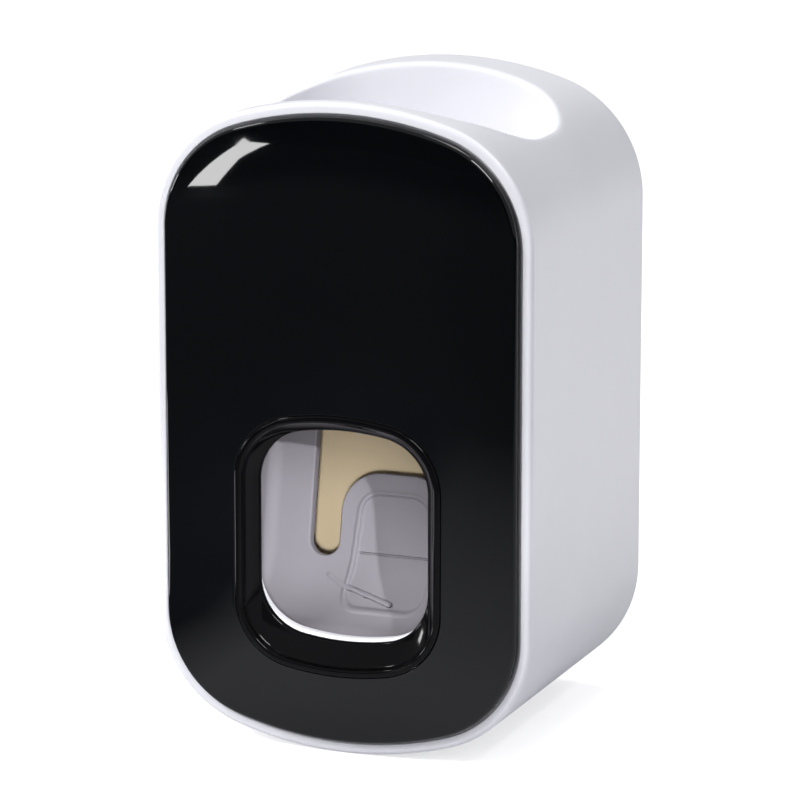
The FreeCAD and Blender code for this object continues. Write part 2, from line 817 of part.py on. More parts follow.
def make_front_panel():
    body = new_body("front_panel")
    back = front - cell("recess_depth")
    section = front_sketch(body, "PanelFace", back)
    edge = cell("rim_width") + cell("fit_gap")
    case_outline(section, edge)
    block = pad(body, "Panel", section, cell("recess_depth") + cell("panel_rise"))
    outer = front + cell("panel_rise")
    fillet(body, "PanelEdge", block, cell("panel_edge"),
           lambda item: near(item.BoundBox.YMin, -outer) and near(item.BoundBox.YMax, -outer))
    hollow = front_sketch(body, "HollowFace", back)
    case_outline(hollow, edge + cell("panel_skirt"))
    lip_outline(hollow, cell("panel_skirt"))
    pocket(body, "Hollow", hollow, cell("recess_depth") + cell("panel_rise") - cell("panel_wall"),
           reverse=True)
    studs = front_sketch(body, "StudFace", outer - cell("panel_wall"))
    for x, z in stud_places:
        circle(studs, x, z, cell("stud_radius"))
    reach = cell("recess_depth") + cell("panel_rise") - cell("panel_wall")
    pad(body, "Studs", studs, reach + cell("frame_depth") - cell("recess_depth"), reverse=True)
    opening = front_sketch(body, "OpeningFace", outer)
    lip_outline(opening, cell("slip_gap"))
    pocket(body, "Opening", opening, cell("recess_depth") + cell("panel_rise") + cell("overrun"))


def make_window_collar():
    body = new_body("window_collar")
    front_edge = front + cell("panel_rise") + cell("lip_rise")
    back = front - cell("recess_depth")
    flange = front_sketch(body, "FlangeFace", back)
    lip_outline(flange)
    pad(body, "Flange", flange, front_edge - back)
    sleeve = front_sketch(body, "SleeveFace", back)
    window_outline(sleeve, cell("collar_wall"))
    pad(body, "Sleeve", sleeve, cell("collar_seat"), reverse=True)
    mouth = front_sketch(body, "MouthFace", front_edge)
    lip_outline(mouth, -cell("lip_land"))
    throat = front_sketch(body, "ThroatFace", front_edge - cell("funnel_depth"))
    window_outline(throat)
    loft(body, "Funnel", "SubtractiveLoft", mouth, throat)
    land = front_sketch(body, "LandFace", front_edge)
    window_outline(land)
    pocket(body, "Land", land, front_edge - back + cell("collar_seat") + cell("overrun"))


# Pump frame, hung under the bowl
def make_pump_frame():
    body = new_body("pump_frame")
    deck = level_sketch(body, "DeckFace", deck_bottom)
    rectangle(deck, -frame_half, -frame_front, frame_half, -deck_back)
    pad(body, "Deck", deck, cell("deck"))
    wall = level_sketch(body, "WallFace", shelf_bottom)
    rectangle(wall, -cell("shelf_half_width"), -frame_front, cell("shelf_half_width"), -wall_back)
    pad(body, "Wall", wall, deck_bottom - shelf_bottom)
    shelf = level_sketch(body, "ShelfFace", shelf_bottom)
    rectangle(shelf, -cell("shelf_half_width"), -frame_front, cell("shelf_half_width"), -shelf_back)
    pad(body, "Shelf", shelf, cell("shelf"))
    anvil = side_sketch(body, "AnvilSide")
    top = deck_bottom - cell("clamp_height") - cell("anvil_margin")
    bottom = bladder_bottom + cell("clamp_height") + cell("anvil_margin")
    face = wall_back - cell("anvil")
    slope = cell("anvil")
    polygon(anvil, [(-wall_back, bottom), (-face, bottom + slope), (-face, top - slope), (-wall_back, top)])
    pad(body, "Anvil", anvil, cell("bladder_radius") * 2, both=True)
    ears = side_sketch(body, "EarSide", ear_inner)
    ear_front = pivot_y + cell("ear_reach") + cell("ear")
    rectangle(ears, -ear_front, pivot_z - cell("ear_drop"), -deck_back, deck_bottom + cell("deck") / 2)
    ear = pad(body, "Ear", ears, cell("ear"))
    mirror(body, "EarLeft", [ear])
    tab = side_sketch(body, "TabSide")
    tab_front = deck_back + cell("stop_tab")
    rectangle(tab, -tab_front, bumper_z - cell("bumper_radius") * 2, -deck_back, deck_bottom + cell("deck") / 2)
    pad(body, "StopTab", tab, cell("stop_tab_half_width") * 2, both=True)
    spigot = level_sketch(body, "SpigotHole", deck_top)
    circle(spigot, 0, -pump_y, cell("bladder_radius") - cell("bladder_wall") + cell("fit_gap"))
    pocket(body, "SpigotBore", spigot, cell("deck") + cell("fit_gap"))
    nozzle = level_sketch(body, "NozzleHole", shelf_top)
    circle(nozzle, 0, -pump_y, cell("outlet_radius") + cell("fit_gap"))
    pocket(body, "NozzleBore", nozzle, cell("shelf") + cell("fit_gap"))
    screws = level_sketch(body, "ScrewHoles", deck_top)
    for y in deck_screw_ys:
        for x in (deck_screw_x, -deck_screw_x):
            circle(screws, x, -y, cell("screw_radius") + cell("screw_play"))
    pocket(body, "ScrewBores", screws, cell("deck") + cell("fit_gap"))
    axle = side_sketch(body, "AxleSide", frame_half + cell("overrun"))
    circle(axle, -pivot_y, pivot_z, cell("pin_radius") + cell("pin_play"))
    pocket(body, "AxleBores", axle, (frame_half + cell("overrun")) * 2)


def make_pump_frame_screws():
    """Screws driven upwards through the deck: their frame is turned upside down."""
    body = new_body("pump_frame_screws", y=deck_screw_ys[0], z=deck_bottom - cell("screw_head"))
    body.Placement.Rotation = FreeCAD.Rotation(V(1, 0, 0), 180)
    bind(body, "Placement.Base.x", -deck_screw_x)
    items = screw_profile(body)
    pitch = cell("deck_screw_front") + cell("deck_screw_rear")
    row_of_screws(body, items, "H_Axis", deck_screw_x * 2, "XZ_Plane", pitch)


# The pump's turned pieces, each drawn as radius and height on the pump's axis
spigot_radius = cell("bladder_radius") - cell("bladder_wall")
spigot_bore = spigot_radius - cell("spigot_wall")


def turned_body(name):
    return new_body(name, y=pump_y)


def make_tube_seal():
    body = turned_body("tube_seal")
    neck, outer = cell("neck_radius"), cell("neck_radius") + cell("seal_wall")
    flange = outer + cell("seal_flange")
    ledge = deck_top + cell("seat_flange")
    top = bowl_floor + cell("seal_rise")
    seat = bowl_underside - cell("slip_gap")
    lead = cell("seal_lead")
    pocket_radius = spigot_radius + cell("seat_flange") + cell("fit_gap")
    neck_stop = bowl_floor + cell("fit_gap")
    half = front_sketch(body, "SealHalf", None)
    polygon(half, [(spigot_bore, ledge), (pocket_radius, ledge), (pocket_radius, deck_top),
                   (flange, deck_top), (flange, seat), (outer, seat), (outer, top - lead),
                   (outer - lead, top), (neck + lead, top), (neck, top - lead), (neck, neck_stop),
                   (spigot_bore, neck_stop)])
    revolve(body, "Seal", half)


def make_inlet_valve_seat():
    body = turned_body("inlet_valve_seat")
    flange = spigot_radius + cell("seat_flange")
    ledge = deck_top + cell("seat_flange")
    foot = deck_bottom - cell("spigot_length")
    stem = cell("umbrella_stem") + cell("slip_gap")
    web_top = deck_bottom
    web_bottom = deck_bottom - cell("web")
    half = front_sketch(body, "SeatHalf", None)
    polygon(half, [(stem, web_bottom), (spigot_bore, web_bottom), (spigot_bore, foot), (spigot_radius, foot),
                   (spigot_radius, deck_top), (flange, deck_top), (flange, ledge), (spigot_bore, ledge),
                   (spigot_bore, web_top), (stem, web_top)])
    revolve(body, "Seat", half)
    face = level_sketch(body, "FlowFace", web_top)
    circle(face, cell("flow_circle"), 0, cell("flow_hole"))
    hole = pocket(body, "FlowHole", face, cell("web") + cell("fit_gap"))
    ring = body.newObject("PartDesign::PolarPattern", "FlowHoles")
    ring.Originals = [hole]
    ring.Axis = (face, ["N_Axis"])
    ring.Angle = 360
    ring.Occurrences = 6
    body.Tip = ring


def make_inlet_valve():
    body = turned_body("inlet_valve")
    stem, disc = cell("umbrella_stem"), cell("umbrella_radius")
    web_bottom = deck_bottom - cell("web")
    low = web_bottom - cell("umbrella_disc")
    barb_low = deck_bottom + cell("slip_gap")
    barb = stem + cell("umbrella_stem") / 2
    tip = barb_low + cell("umbrella_disc") * 2
    half = front_sketch(body, "UmbrellaHalf", None)
    polygon(half, [(0, low), (disc / 2, low), (disc, web_bottom - cell("umbrella_disc") / 2), (disc, web_bottom),
                   (stem, web_bottom), (stem, barb_low), (barb, barb_low), (stem / 2, tip), (0, tip)])
    revolve(body, "Umbrella", half)


def make_pump_bladder():
    body = turned_body("pump_bladder")
    half = front_sketch(body, "BladderHalf", None)
    bore = spigot_radius + cell("slip_gap")
    ring_profile(half, bore, cell("bladder_radius"), bladder_bottom, deck_bottom)
    revolve(body, "Bladder", half)


BEVEL_SHARE = 0.35


def make_clamp(name, low):
    body = turned_body(name)
    half = front_sketch(body, "ClampHalf", None)
    inner = cell("bladder_radius") + cell("slip_gap")
    outer = inner + cell("clamp_wall")
    high = low + cell("clamp_height")
    bevel = cell("clamp_wall") * BEVEL_SHARE
    polygon(half, [(inner, low), (outer - bevel, low), (outer, low + bevel), (outer, high - bevel),
                   (outer - bevel, high), (inner, high)])
    revolve(body, "Clamp", half)


def make_outlet_nozzle():
    body = turned_body("outlet_nozzle")
    top = bladder_bottom + cell("spigot_length")
    flange = cell("bladder_radius")
    outer, tip, bore = cell("outlet_radius"), cell("outlet_tip"), cell("outlet_bore")
    shoulder = nozzle_end + cell("duckbill_grip")
    half = front_sketch(body, "NozzleHalf", None)
    polygon(half, [(bore, nozzle_end), (tip, nozzle_end), (tip, shoulder), (outer, shoulder),
                   (outer, shelf_top), (flange, shelf_top), (flange, bladder_bottom),
                   (spigot_radius, bladder_bottom), (spigot_radius, top), (spigot_bore, top),
                   (spigot_bore, bladder_bottom), (bore, shelf_bottom)])
    revolve(body, "Nozzle", half)


BILL_WIDTH_SHARE = 0.78
BILL_TIP_SHARE = 0.2
BILL_ROOT_SHARE = 0.85
BILL_HOLLOW_SHARE = 0.75


def make_outlet_valve():
    body = turned_body("outlet_valve")
    inner = cell("outlet_tip") + cell("slip_gap")
    outer = inner + cell("duckbill_wall")
    floor = nozzle_end - cell("fit_gap")
    top = nozzle_end + cell("duckbill_grip") - cell("fit_gap")
    sleeve = front_sketch(body, "SleeveHalf", None)
    ring_profile(sleeve, inner, outer, floor, top)
    revolve(body, "Sleeve", sleeve)
    round_end = level_sketch(body, "BillTop", floor)
    circle(round_end, 0, 0, outer)
    flat_end = level_sketch(body, "BillTip", floor - cell("duckbill_length"))
    wide, thin = outer * BILL_WIDTH_SHARE, outer * BILL_TIP_SHARE
    rectangle(flat_end, -wide, -thin, wide, thin)
    pad(body, "BillRoot", round_end, cell("duckbill_wall"), reverse=True)
    tip = level_sketch(body, "BillStart", floor - cell("duckbill_wall") / 2)
    thick = inner * BILL_ROOT_SHARE
    rectangle(tip, -wide, -thick, wide, thick)
    loft(body, "Bill", "AdditiveLoft", tip, flat_end)
    bore = level_sketch(body, "BoreFace", floor)
    circle(bore, 0, 0, cell("outlet_bore"))
    pocket(body, "Bore", bore, cell("duckbill_wall") * BILL_HOLLOW_SHARE)
    cut = level_sketch(body, "SlitFace", floor)
    half_slit, reach = cell("slit") / 2, wide * BILL_HOLLOW_SHARE
    rectangle(cut, -reach, -half_slit, reach, half_slit)
    pocket(body, "Slit", cut, cell("duckbill_length") + cell("overrun"))

# Push lever, drawn in its own frame and leaned back
SLOT_SHARE = 0.47
NOSE_SHARE = 0.25


def make_push_lever():
    body = new_body("push_lever", y=pivot_y, z=pivot_z)
    body.Placement.Rotation = FreeCAD.Rotation(V(1, 0, 0), -lean.number)
    bind(body, "Placement.Rotation.Angle", -lean)

    side = side_sketch(body, "BucketSide")
    top = cell("crossbar_rise")
    under = cell("floor_wall")
    polygon(side, [(plate_front, top), (plate_back, top), (plate_back, lever_base - under),
                   (sill_y, sill_z - under), (sill_y, sill_z + under * 2),
                   (plate_front - cell("side_depth"), -cell("side_drop")), (plate_front, -cell("side_drop"))])
    pad(body, "Bucket", side, lever_half * 2, both=True)
    inside = side_sketch(body, "InsideSide")
    ahead = sill_y - cell("overrun")
    high = cell("overrun")
    fall = (sill_z - lever_base) / (sill_y - plate_front)
    sill_ahead = sill_z - cell("overrun") * fall
    polygon(inside, [(plate_front, high), (plate_front, lever_base), (ahead, sill_ahead), (ahead, high)])
    cut = pocket(body, "Inside", inside, lever_inner * 2, both=True)
    doc.recompute()

    def scoop_edge(edge):
        box = edge.BoundBox
        level = near(box.ZMin, lever_base) and near(box.ZMax, lever_base)
        return level and near(box.YMin, plate_front) and near(box.YMax, plate_front)

    def inner_corner(edge):
        box = edge.BoundBox
        upright = near(box.YMin, plate_front) and near(box.YMax, plate_front)
        return upright and near(abs(box.XMin), lever_inner) and near(abs(box.XMax), lever_inner)

    scoop = fillet(body, "Scoop", cut, cell("scoop_fillet"), scoop_edge)
    fillet(body, "InnerCorners", scoop, cell("corner_fillet"), inner_corner)

    opening = front_sketch(body, "OpeningFace", -plate_back)
    half_tongue = cell("tongue_half_width")
    outer = half_tongue + cell("slot_width")
    bottom = lever_base + cell("slot_rise")
    tip = lever_base + cell("tongue_length")
    end = cell("slot_width") * SLOT_SHARE
    corner = cell("tongue_corner")
    above = -cell("crossbar_drop")
    rounded(opening, [(-outer, above, end), (-outer, bottom, end), (-half_tongue, bottom, end),
                      (-half_tongue, tip, corner), (half_tongue, tip, corner), (half_tongue, bottom, end),
                      (outer, bottom, end), (outer, above, end)])
    pocket(body, "Opening", opening, cell("plate") * 2, both=True)

    niche = front_sketch(body, "NicheFace", -plate_front)
    foot = lever_base + cell("niche_rise")
    head = foot + cell("niche_height")
    polygon(niche, [(-cell("niche_foot"), foot), (cell("niche_foot"), foot),
                    (cell("niche_top"), head), (-cell("niche_top"), head)])
    pocket(body, "Niche", niche, cell("niche_depth"))

    bar = side_sketch(body, "BarSide")
    arm_front = -cell("arm_set")
    arm_back = arm_front + cell("arm")
    polygon(bar, [(plate_front + cell("plate") / 2, -cell("side_drop")),
                  (plate_front + cell("plate") / 2, top), (arm_front, top + cell("plate")),
                  (arm_front, cell("arm_reach")), (arm_back, cell("arm_reach")), (arm_back, -cell("side_drop"))])
    pad(body, "Arm", bar, cell("arm_half_width") * 2, both=True)
    presser = side_sketch(body, "PresserSide")
    reach = presser_face
    low = cell("presser_rise") - cell("presser_height") / 2
    high = cell("presser_rise") + cell("presser_height") / 2
    nose = cell("presser_height") * NOSE_SHARE
    polygon(presser, [(arm_front + cell("arm") / 2, low), (reach + nose, low), (reach, low + nose),
                      (reach, high - nose), (reach + nose, high), (arm_front + cell("arm") / 2, high)])
    pad(body, "Presser", presser, cell("arm_half_width") * 2, both=True)

    hub_end = ear_inner - cell("hub_gap")
    hub = side_sketch(body, "HubSide", hub_end)
    circle(hub, 0, 0, cell("hub_radius"))
    boss = pad(body, "Hub", hub, cell("hub_length"), reverse=True)
    mirror(body, "HubLeft", [boss])
    bore = side_sketch(body, "BoreSide", hub_end + cell("overrun"))
    circle(bore, 0, 0, cell("pin_radius") + cell("pin_play"))
    pocket(body, "Bore", bore, (hub_end + cell("overrun")) * 2)

# Pivot pin, its clip and the rest stop
def make_lever_pin():
    body = new_body("lever_pin", y=pivot_y, z=pivot_z)
    shank = side_sketch(body, "ShankSide", frame_half + cell("slip_gap"))
    circle(shank, 0, 0, cell("pin_radius"))
    pad(body, "Head", shank, cell("pin_head"))
    disc = side_sketch(body, "HeadSide", frame_half + cell("slip_gap"))
    circle(disc, 0, 0, cell("pin_head_radius"))
    pad(body, "HeadDisc", disc, cell("pin_head"))
    length = frame_half * 2 + cell("slip_gap") + clip_reach
    pad(body, "Shank", shank, length, reverse=True)
    groove = side_sketch(body, "GrooveSide", -frame_half - cell("slip_gap") - cell("clip") - cell("slip_gap"))
    circle(groove, 0, 0, cell("pin_radius") + cell("overrun"))
    circle(groove, 0, 0, cell("pin_radius") - cell("clip_groove"))
    pocket(body, "Groove", groove, cell("clip") + cell("slip_gap"), reverse=True)

def make_pin_clip():
    body = new_body("pin_clip", y=pivot_y, z=pivot_z)
    face = side_sketch(body, "ClipSide", -frame_half - cell("slip_gap"))
    circle(face, 0, 0, cell("clip_radius"))
    circle(face, 0, 0, cell("pin_radius") - cell("clip_groove") + cell("slip_gap"))
    pad(body, "Clip", face, cell("clip"), reverse=True)
    mouth = side_sketch(body, "MouthSide", -frame_half)
    rectangle(mouth, -cell("clip_mouth"), 0, cell("clip_mouth"), cell("clip_radius") + cell("overrun"))
    pocket(body, "Mouth", mouth, cell("clip") + cell("overrun"))


def make_stop_bumper():
    body = new_body("stop_bumper", y=bumper_base, z=bumper_z)
    face = front_sketch(body, "BumperFace", None)
    circle(face, 0, 0, cell("bumper_radius"))
    pad(body, "Bumper", face, bumper_thickness)


make_wall_plate()
make_adhesive_pad()
make_back_cover()
make_back_cover_screws()
make_housing()
make_front_frame()
make_front_panel()
make_window_collar()
make_pump_frame()
make_pump_frame_screws()
make_tube_seal()
make_inlet_valve_seat()
make_inlet_valve()
make_clamp("bladder_top_clamp", deck_bottom - cell("clamp_offset") - cell("clamp_height"))
make_pump_bladder()
make_clamp("bladder_bottom_clamp", bladder_bottom + cell("clamp_offset"))
make_outlet_nozzle()
make_outlet_valve()
make_push_lever()
make_lever_pin()
make_pin_clip()
make_stop_bumper()

doc.recompute()


# Nothing is written unless every object is sound and every cut took something away
def check_document():
    faults = []
    for item in doc.Objects:
        if "Invalid" in item.State or "Error" in item.State:
            faults.append(f"{item.Name} failed to recompute")
        if item.TypeId == "PartDesign::Pocket" and not removes_material(item):
            faults.append(f"{item.Name} cuts nothing")
    for body in pieces():
        if body.Shape.isNull() or not body.Shape.isValid():
            faults.append(f"{body.Label} has no valid shape")
    if faults:
        raise RuntimeError("; ".join(faults))


def removes_material(cut):
    base = cut.BaseFeature
    if cut.Shape.isNull() or base is None or base.Shape.isNull():
        return False
    return cut.Shape.Volume < base.Shape.Volume


def pieces():
    """The bodies that are pieces of the object, without the one that only hollows the housing."""
    bodies = [item for item in doc.Objects if item.TypeId == "PartDesign::Body"]
    return [body for body in bodies if body.Label != "housing_hollow"]


check_document()
os.makedirs("parts", exist_ok=True)
for body in pieces():
    body.Shape.exportStep(f"parts/{body.Label}.step")
    print(body.Label, len(body.Shape.Solids), round(body.Shape.Volume))
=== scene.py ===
"""Wall-mounted toothpaste dispenser: its visible pieces, their finishes, and a plain pale studio.

Shapes are worked out in millimetres in the object's own frame (X right, +Y into the wall, +Z up) and
turned to metres when they become meshes.
"""

import math

import bmesh
import bpy
import numpy as np
from mathutils import Matrix, Vector


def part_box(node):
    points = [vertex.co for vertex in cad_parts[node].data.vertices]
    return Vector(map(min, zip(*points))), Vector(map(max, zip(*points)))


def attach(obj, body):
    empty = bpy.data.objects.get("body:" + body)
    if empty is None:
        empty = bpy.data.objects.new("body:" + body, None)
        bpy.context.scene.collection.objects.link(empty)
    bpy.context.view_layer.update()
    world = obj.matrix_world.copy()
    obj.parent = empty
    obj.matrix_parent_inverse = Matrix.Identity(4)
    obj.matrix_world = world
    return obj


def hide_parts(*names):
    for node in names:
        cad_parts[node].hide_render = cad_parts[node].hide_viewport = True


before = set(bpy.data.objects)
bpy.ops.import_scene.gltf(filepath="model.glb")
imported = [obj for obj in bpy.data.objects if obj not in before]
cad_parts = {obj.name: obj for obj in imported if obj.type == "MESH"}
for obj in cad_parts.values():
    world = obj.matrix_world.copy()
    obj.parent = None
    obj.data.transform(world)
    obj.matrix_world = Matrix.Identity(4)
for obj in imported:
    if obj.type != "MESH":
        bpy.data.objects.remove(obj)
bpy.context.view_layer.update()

MM = 0.001


def corners_of(node):
    """The lowest and highest corner of a node, in millimetres."""
    low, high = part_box(node)
    return np.array(low) / MM, np.array(high) / MM


# Sizes read from the frame
case_low, case_high = corners_of("housing")
frame_low, _ = corners_of("front_frame")
panel_low, panel_high = corners_of("front_panel")
collar_low, collar_high = corners_of("window_collar")
cover_low, cover_high = corners_of("back_cover")
plate_low, plate_high = corners_of("wall_plate")
pad_low, pad_high = corners_of("adhesive_pad")

# Sizes of the case, the panel and the window
HALF_WIDTH = case_high[0]
HALF_HEIGHT = case_high[2]
CORNER, CROWN = 19.0, 59.0
WALL = 1.8
CASE_FRONT_ROUND, CASE_REAR_ROUND = 0.06, 0.9
FRONT = frame_low[1]
CASE_FRONT = case_low[1]
CASE_REAR = case_high[1]
PANEL_FACE = panel_low[1]
PANEL_BACK = panel_high[1]
RIM_WIDTH, RIM_EDGE = 1.75, 0.8
PANEL_MARGIN = 0.35
PANEL_INSET = HALF_WIDTH - panel_high[0] + PANEL_MARGIN
THROAT_HALF = (14.0, 16.75)
THROAT_CORNER, THROAT_CROWN = 8.5, 40.0
THROAT_MIDDLE = -16.55
LINER_HALF = (14.9, 16.45)
LINER_CORNER, LINER_MIDDLE = 9.1, -16.45
LIP_CORNER, LIP_CROWN = 10.5, 44.0
PUMP_Y = -35.0


# Outlines
class Outline:
    """A closed form of a wide crown arc above and below, four corner arcs and two upright sides.

    A quarter runs from the top of the crown to the middle of the side: first the angle grows from zero
    on the crown's radius, then on the corner's radius up to a right angle, then the height falls to zero.
    """

    def __init__(self, half_x, half_z, corner, crown, middle=0.0):
        self.half_x, self.half_z = half_x, half_z
        self.corner, self.crown, self.middle = corner, crown, middle
        self.across = half_x - corner
        self.turn = math.asin(self.across / (crown - corner))
        self.rise = half_z - crown + (crown - corner) * math.cos(self.turn)
        self.lengths = (crown * self.turn, corner * (math.pi / 2 - self.turn), self.rise)

    def grown(self, distance):
        """The same form moved outwards all round."""
        return Outline(self.half_x + distance, self.half_z + distance, self.corner + distance,
                       self.crown + distance, self.middle)

    def quarter(self, reach):
        """Points and outward normals at distances along the quarter from the top of the crown."""
        on_crown, on_corner, _ = self.lengths
        angle = np.where(reach < on_crown, reach / self.crown, self.turn + (reach - on_crown) / self.corner)
        angle = np.minimum(angle, math.pi / 2)
        wide = reach < on_crown
        radius = np.where(wide, self.crown, self.corner)
        x = np.where(wide, 0.0, self.across) + radius * np.sin(angle)
        z = np.where(wide, self.half_z - self.crown, self.rise) + radius * np.cos(angle)
        z = z - np.maximum(reach - on_crown - on_corner, 0.0)
        return np.stack([x, z], 1), np.stack([np.sin(angle), np.cos(angle)], 1)

    def ring(self, counts):
        """Points and normals clockwise from the top, with a count of steps for crown, corner and side."""
        ends = np.concatenate([[0.0], np.cumsum(self.lengths)])
        reach = np.concatenate([np.linspace(ends[i], ends[i + 1], counts[i], endpoint=False)
                                for i in range(3)])
        back = np.concatenate([[ends[3]], reach[:0:-1]])
        parts = [np.stack(self.quarter(along)) * sign for along, sign in (
            (reach, (1, 1)), (back, (1, -1)), (reach, (-1, -1)), (back, (-1, 1)))]
        points, normals = np.concatenate(parts, 1)
        return points + [0.0, self.middle], normals

    def distance(self, x, z):
        """Distance to the form, below zero inside: each place is measured from the arc or the side whose
        sector it lies in."""
        x, z = np.abs(x), np.abs(z - self.middle)
        low = self.half_z - self.crown
        on_crown = x * math.cos(self.turn) < (z - low) * math.sin(self.turn)
        on_corner = np.hypot(x - self.across, z - self.rise) - self.corner
        beside = np.where(z > self.rise, on_corner, x - self.half_x)
        return np.where(on_crown, np.hypot(x, z - low) - self.crown, beside)

    def reach(self, x):
        """How far along the quarter a distance from the middle lies, with its sign: the angle at which the
        arc holds it, times the arc's radius."""
        size = np.abs(x)
        on_crown = size < self.crown * math.sin(self.turn)
        crown = self.crown * np.arcsin(np.minimum(size / self.crown, 1))
        side = np.arcsin(np.clip((size - self.across) / self.corner, -1, 1)) - self.turn
        return np.sign(x) * np.where(on_crown, crown, self.lengths[0] + self.corner * side)


CASE = Outline(HALF_WIDTH, HALF_HEIGHT, CORNER, CROWN)
THROAT = Outline(*THROAT_HALF, THROAT_CORNER, THROAT_CROWN, THROAT_MIDDLE)
LINER = Outline(*LINER_HALF, LINER_CORNER, THROAT_CROWN, LINER_MIDDLE)
LIP = Outline(collar_high[0], (collar_high[2] - collar_low[2]) / 2, LIP_CORNER, LIP_CROWN,
              (collar_high[2] + collar_low[2]) / 2)
# Steps in each quarter of a ring, along its crown, its corner and its side
COUNTS = (16, 26, 14)


def ring_at(outline, inset, y):
    """One ring of a skin: the outline moved inwards by inset, at depth y."""
    points, normals = outline.ring(COUNTS)
    flat = points - inset * normals
    return np.stack([flat[:, 0], np.broadcast_to(y, len(flat)), flat[:, 1]], 1)


def swept(outline, profile):
    """The rings of a profile of insets and depths that runs round an outline."""
    return [ring_at(outline, inset, y) for inset, y in profile]


def spread(first, last, shares):
    """Rings at shares of the way from one ring to another."""
    return [first + (last - first) * share for share in shares]


def rings_between(first, last, count):
    """Rings spread evenly from one ring to another, without the two at the ends."""
    return spread(first, last, np.linspace(0, 1, count + 2)[1:-1])


def soft_profile(corners, steps, hold=0.05, closed=False):
    """A path of straight runs with a round corner at each point (u, v, radius).

    Each corner's arc touches both runs, at the radius over the tangent of half the angle between them, and
    a point just before and after the arc keeps the shading of the runs flat.
    """
    corners = [np.array(corner, float) for corner in corners]
    path = []
    for index, (u, v, radius) in enumerate(corners):
        here = np.array([u, v])
        if radius == 0 or (not closed and index in (0, len(corners) - 1)):
            path.append(here[None])
            continue
        before = corners[index - 1][:2] - here
        after = corners[(index + 1) % len(corners)][:2] - here
        before, after = before / np.linalg.norm(before), after / np.linalg.norm(after)
        half = math.acos(np.clip(before @ after, -1, 1)) / 2
        touch = radius / math.tan(half)
        middle = (before + after) / np.linalg.norm(before + after)
        centre = here + middle * radius / math.sin(half)
        start, end = here + before * touch - centre, here + after * touch - centre
        sweep = math.pi - 2 * half
        share = np.linspace(0, 1, steps + 1)[:, None]
        arc = (np.sin((1 - share) * sweep) * start + np.sin(share * sweep) * end) / math.sin(sweep)
        path.append(np.concatenate([[here + before * (touch + hold)], centre + arc,
                                    [here + after * (touch + hold)]]))
    return np.concatenate(path)


# Meshes
def quads(indices, closed_rows=False):
    """Four-sided faces between neighbouring rows and columns of a grid of vertex numbers. Each row closes
    into a ring, and the last row joins the first where asked."""
    indices = np.concatenate([indices, indices[:, :1]], 1)
    if closed_rows:
        indices = np.concatenate([indices, indices[:1]])
    return np.stack([indices[:-1, :-1], indices[:-1, 1:], indices[1:, 1:], indices[1:, :-1]], -1)


class Shell:
    """Vertices and faces gathered piece by piece, in millimetres."""

    def __init__(self):
        self.points, self.faces, self.count = [], [], 0

    def add(self, points):
        """Adds an array of points and gives their numbers in the same arrangement."""
        self.points.append(points.reshape(-1, 3))
        numbers = np.arange(self.count, self.count + len(self.points[-1])).reshape(points.shape[:-1])
        self.count += numbers.size
        return numbers

    def face(self, faces):
        """Adds four-sided faces, given as vertex numbers in any arrangement that ends in fours."""
        self.faces.extend(faces.reshape(-1, 4).tolist())

    def mesh(self, name):
        """The mesh, in metres, with doubles merged and its faces turned outwards."""
        data = bpy.data.meshes.new(name)
        data.from_pydata(np.concatenate(self.points) * MM, [], self.faces)
        form = bmesh.new()
        form.from_mesh(data)
        bmesh.ops.remove_doubles(form, verts=form.verts, dist=1e-7)
        bmesh.ops.dissolve_degenerate(form, dist=1e-7, edges=form.edges)
        bmesh.ops.recalc_face_normals(form, faces=form.faces)
        form.to_mesh(data)
        form.free()
        data.update()
        data.shade_smooth()
        return data


def skin_mesh(name, rings):
    """The mesh of one skin through rings, closed from the last ring to the first."""
    shell = Shell()
    shell.face(quads(shell.add(np.asarray(rings)), closed_rows=True))
    return shell.mesh(name)


def add_piece(name, data, body, slot, material, *nodes):
    """Links a finished mesh, gives it its material, and lets it ride on its body in place of its nodes."""
    piece = bpy.data.objects.new(name, data)
    bpy.context.scene.collection.objects.link(piece)
    data.materials.append(material)
    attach(piece, body)
    if nodes:
        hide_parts(*nodes)


# Materials
def linear(code):
    """An sRGB hex colour as linear light: straight near black, and otherwise a curve of the power 2.4."""
    values = [int(code[i:i + 2], 16) / 255 for i in (0, 2, 4)]
    return tuple(v / 12.92 if v <= 0.04045 else ((v + 0.055) / 1.055) ** 2.4 for v in values) + (1.0,)


def new_material(name):
    """A material with an empty node tree."""
    material = bpy.data.materials.new(name)
    material.use_nodes = True
    material.node_tree.nodes.clear()
    return material


def add_node(material, kind, links=None, **settings):
    """Adds a node: settings name its properties or its sockets' values, links its sockets' sources."""
    node = material.node_tree.nodes.new("ShaderNode" + kind)
    for key, value in settings.items():
        if hasattr(node, key):
            setattr(node, key, value)
    for key, value in settings.items():
        if not hasattr(node, key):
            node.inputs[key.replace("_", " ")].default_value = value
    for socket, source in (links or {}).items():
        material.node_tree.links.new(source, node.inputs[socket])
    return node


def finish_with(material, shader):
    """Joins the shader to the material's output and gives the material back."""
    add_node(material, "OutputMaterial", {"Surface": shader.outputs[0]})
    return material


def tone_between(material, value, first, last, span=(0.0, 1.0)):
    """A colour that goes from one hex colour to another as a value crosses a span."""
    ramp = add_node(material, "ValToRGB", {"Fac": value})
    for element, place, code in zip(ramp.color_ramp.elements, span, (first, last)):
        element.position, element.color = place, linear(code)
    return ramp.outputs["Color"]


def plain_material(name, kind, code, **settings):
    """A material of one shader in one hex colour."""
    material = new_material(name)
    return finish_with(material, add_node(material, kind, Color=linear(code), **settings))


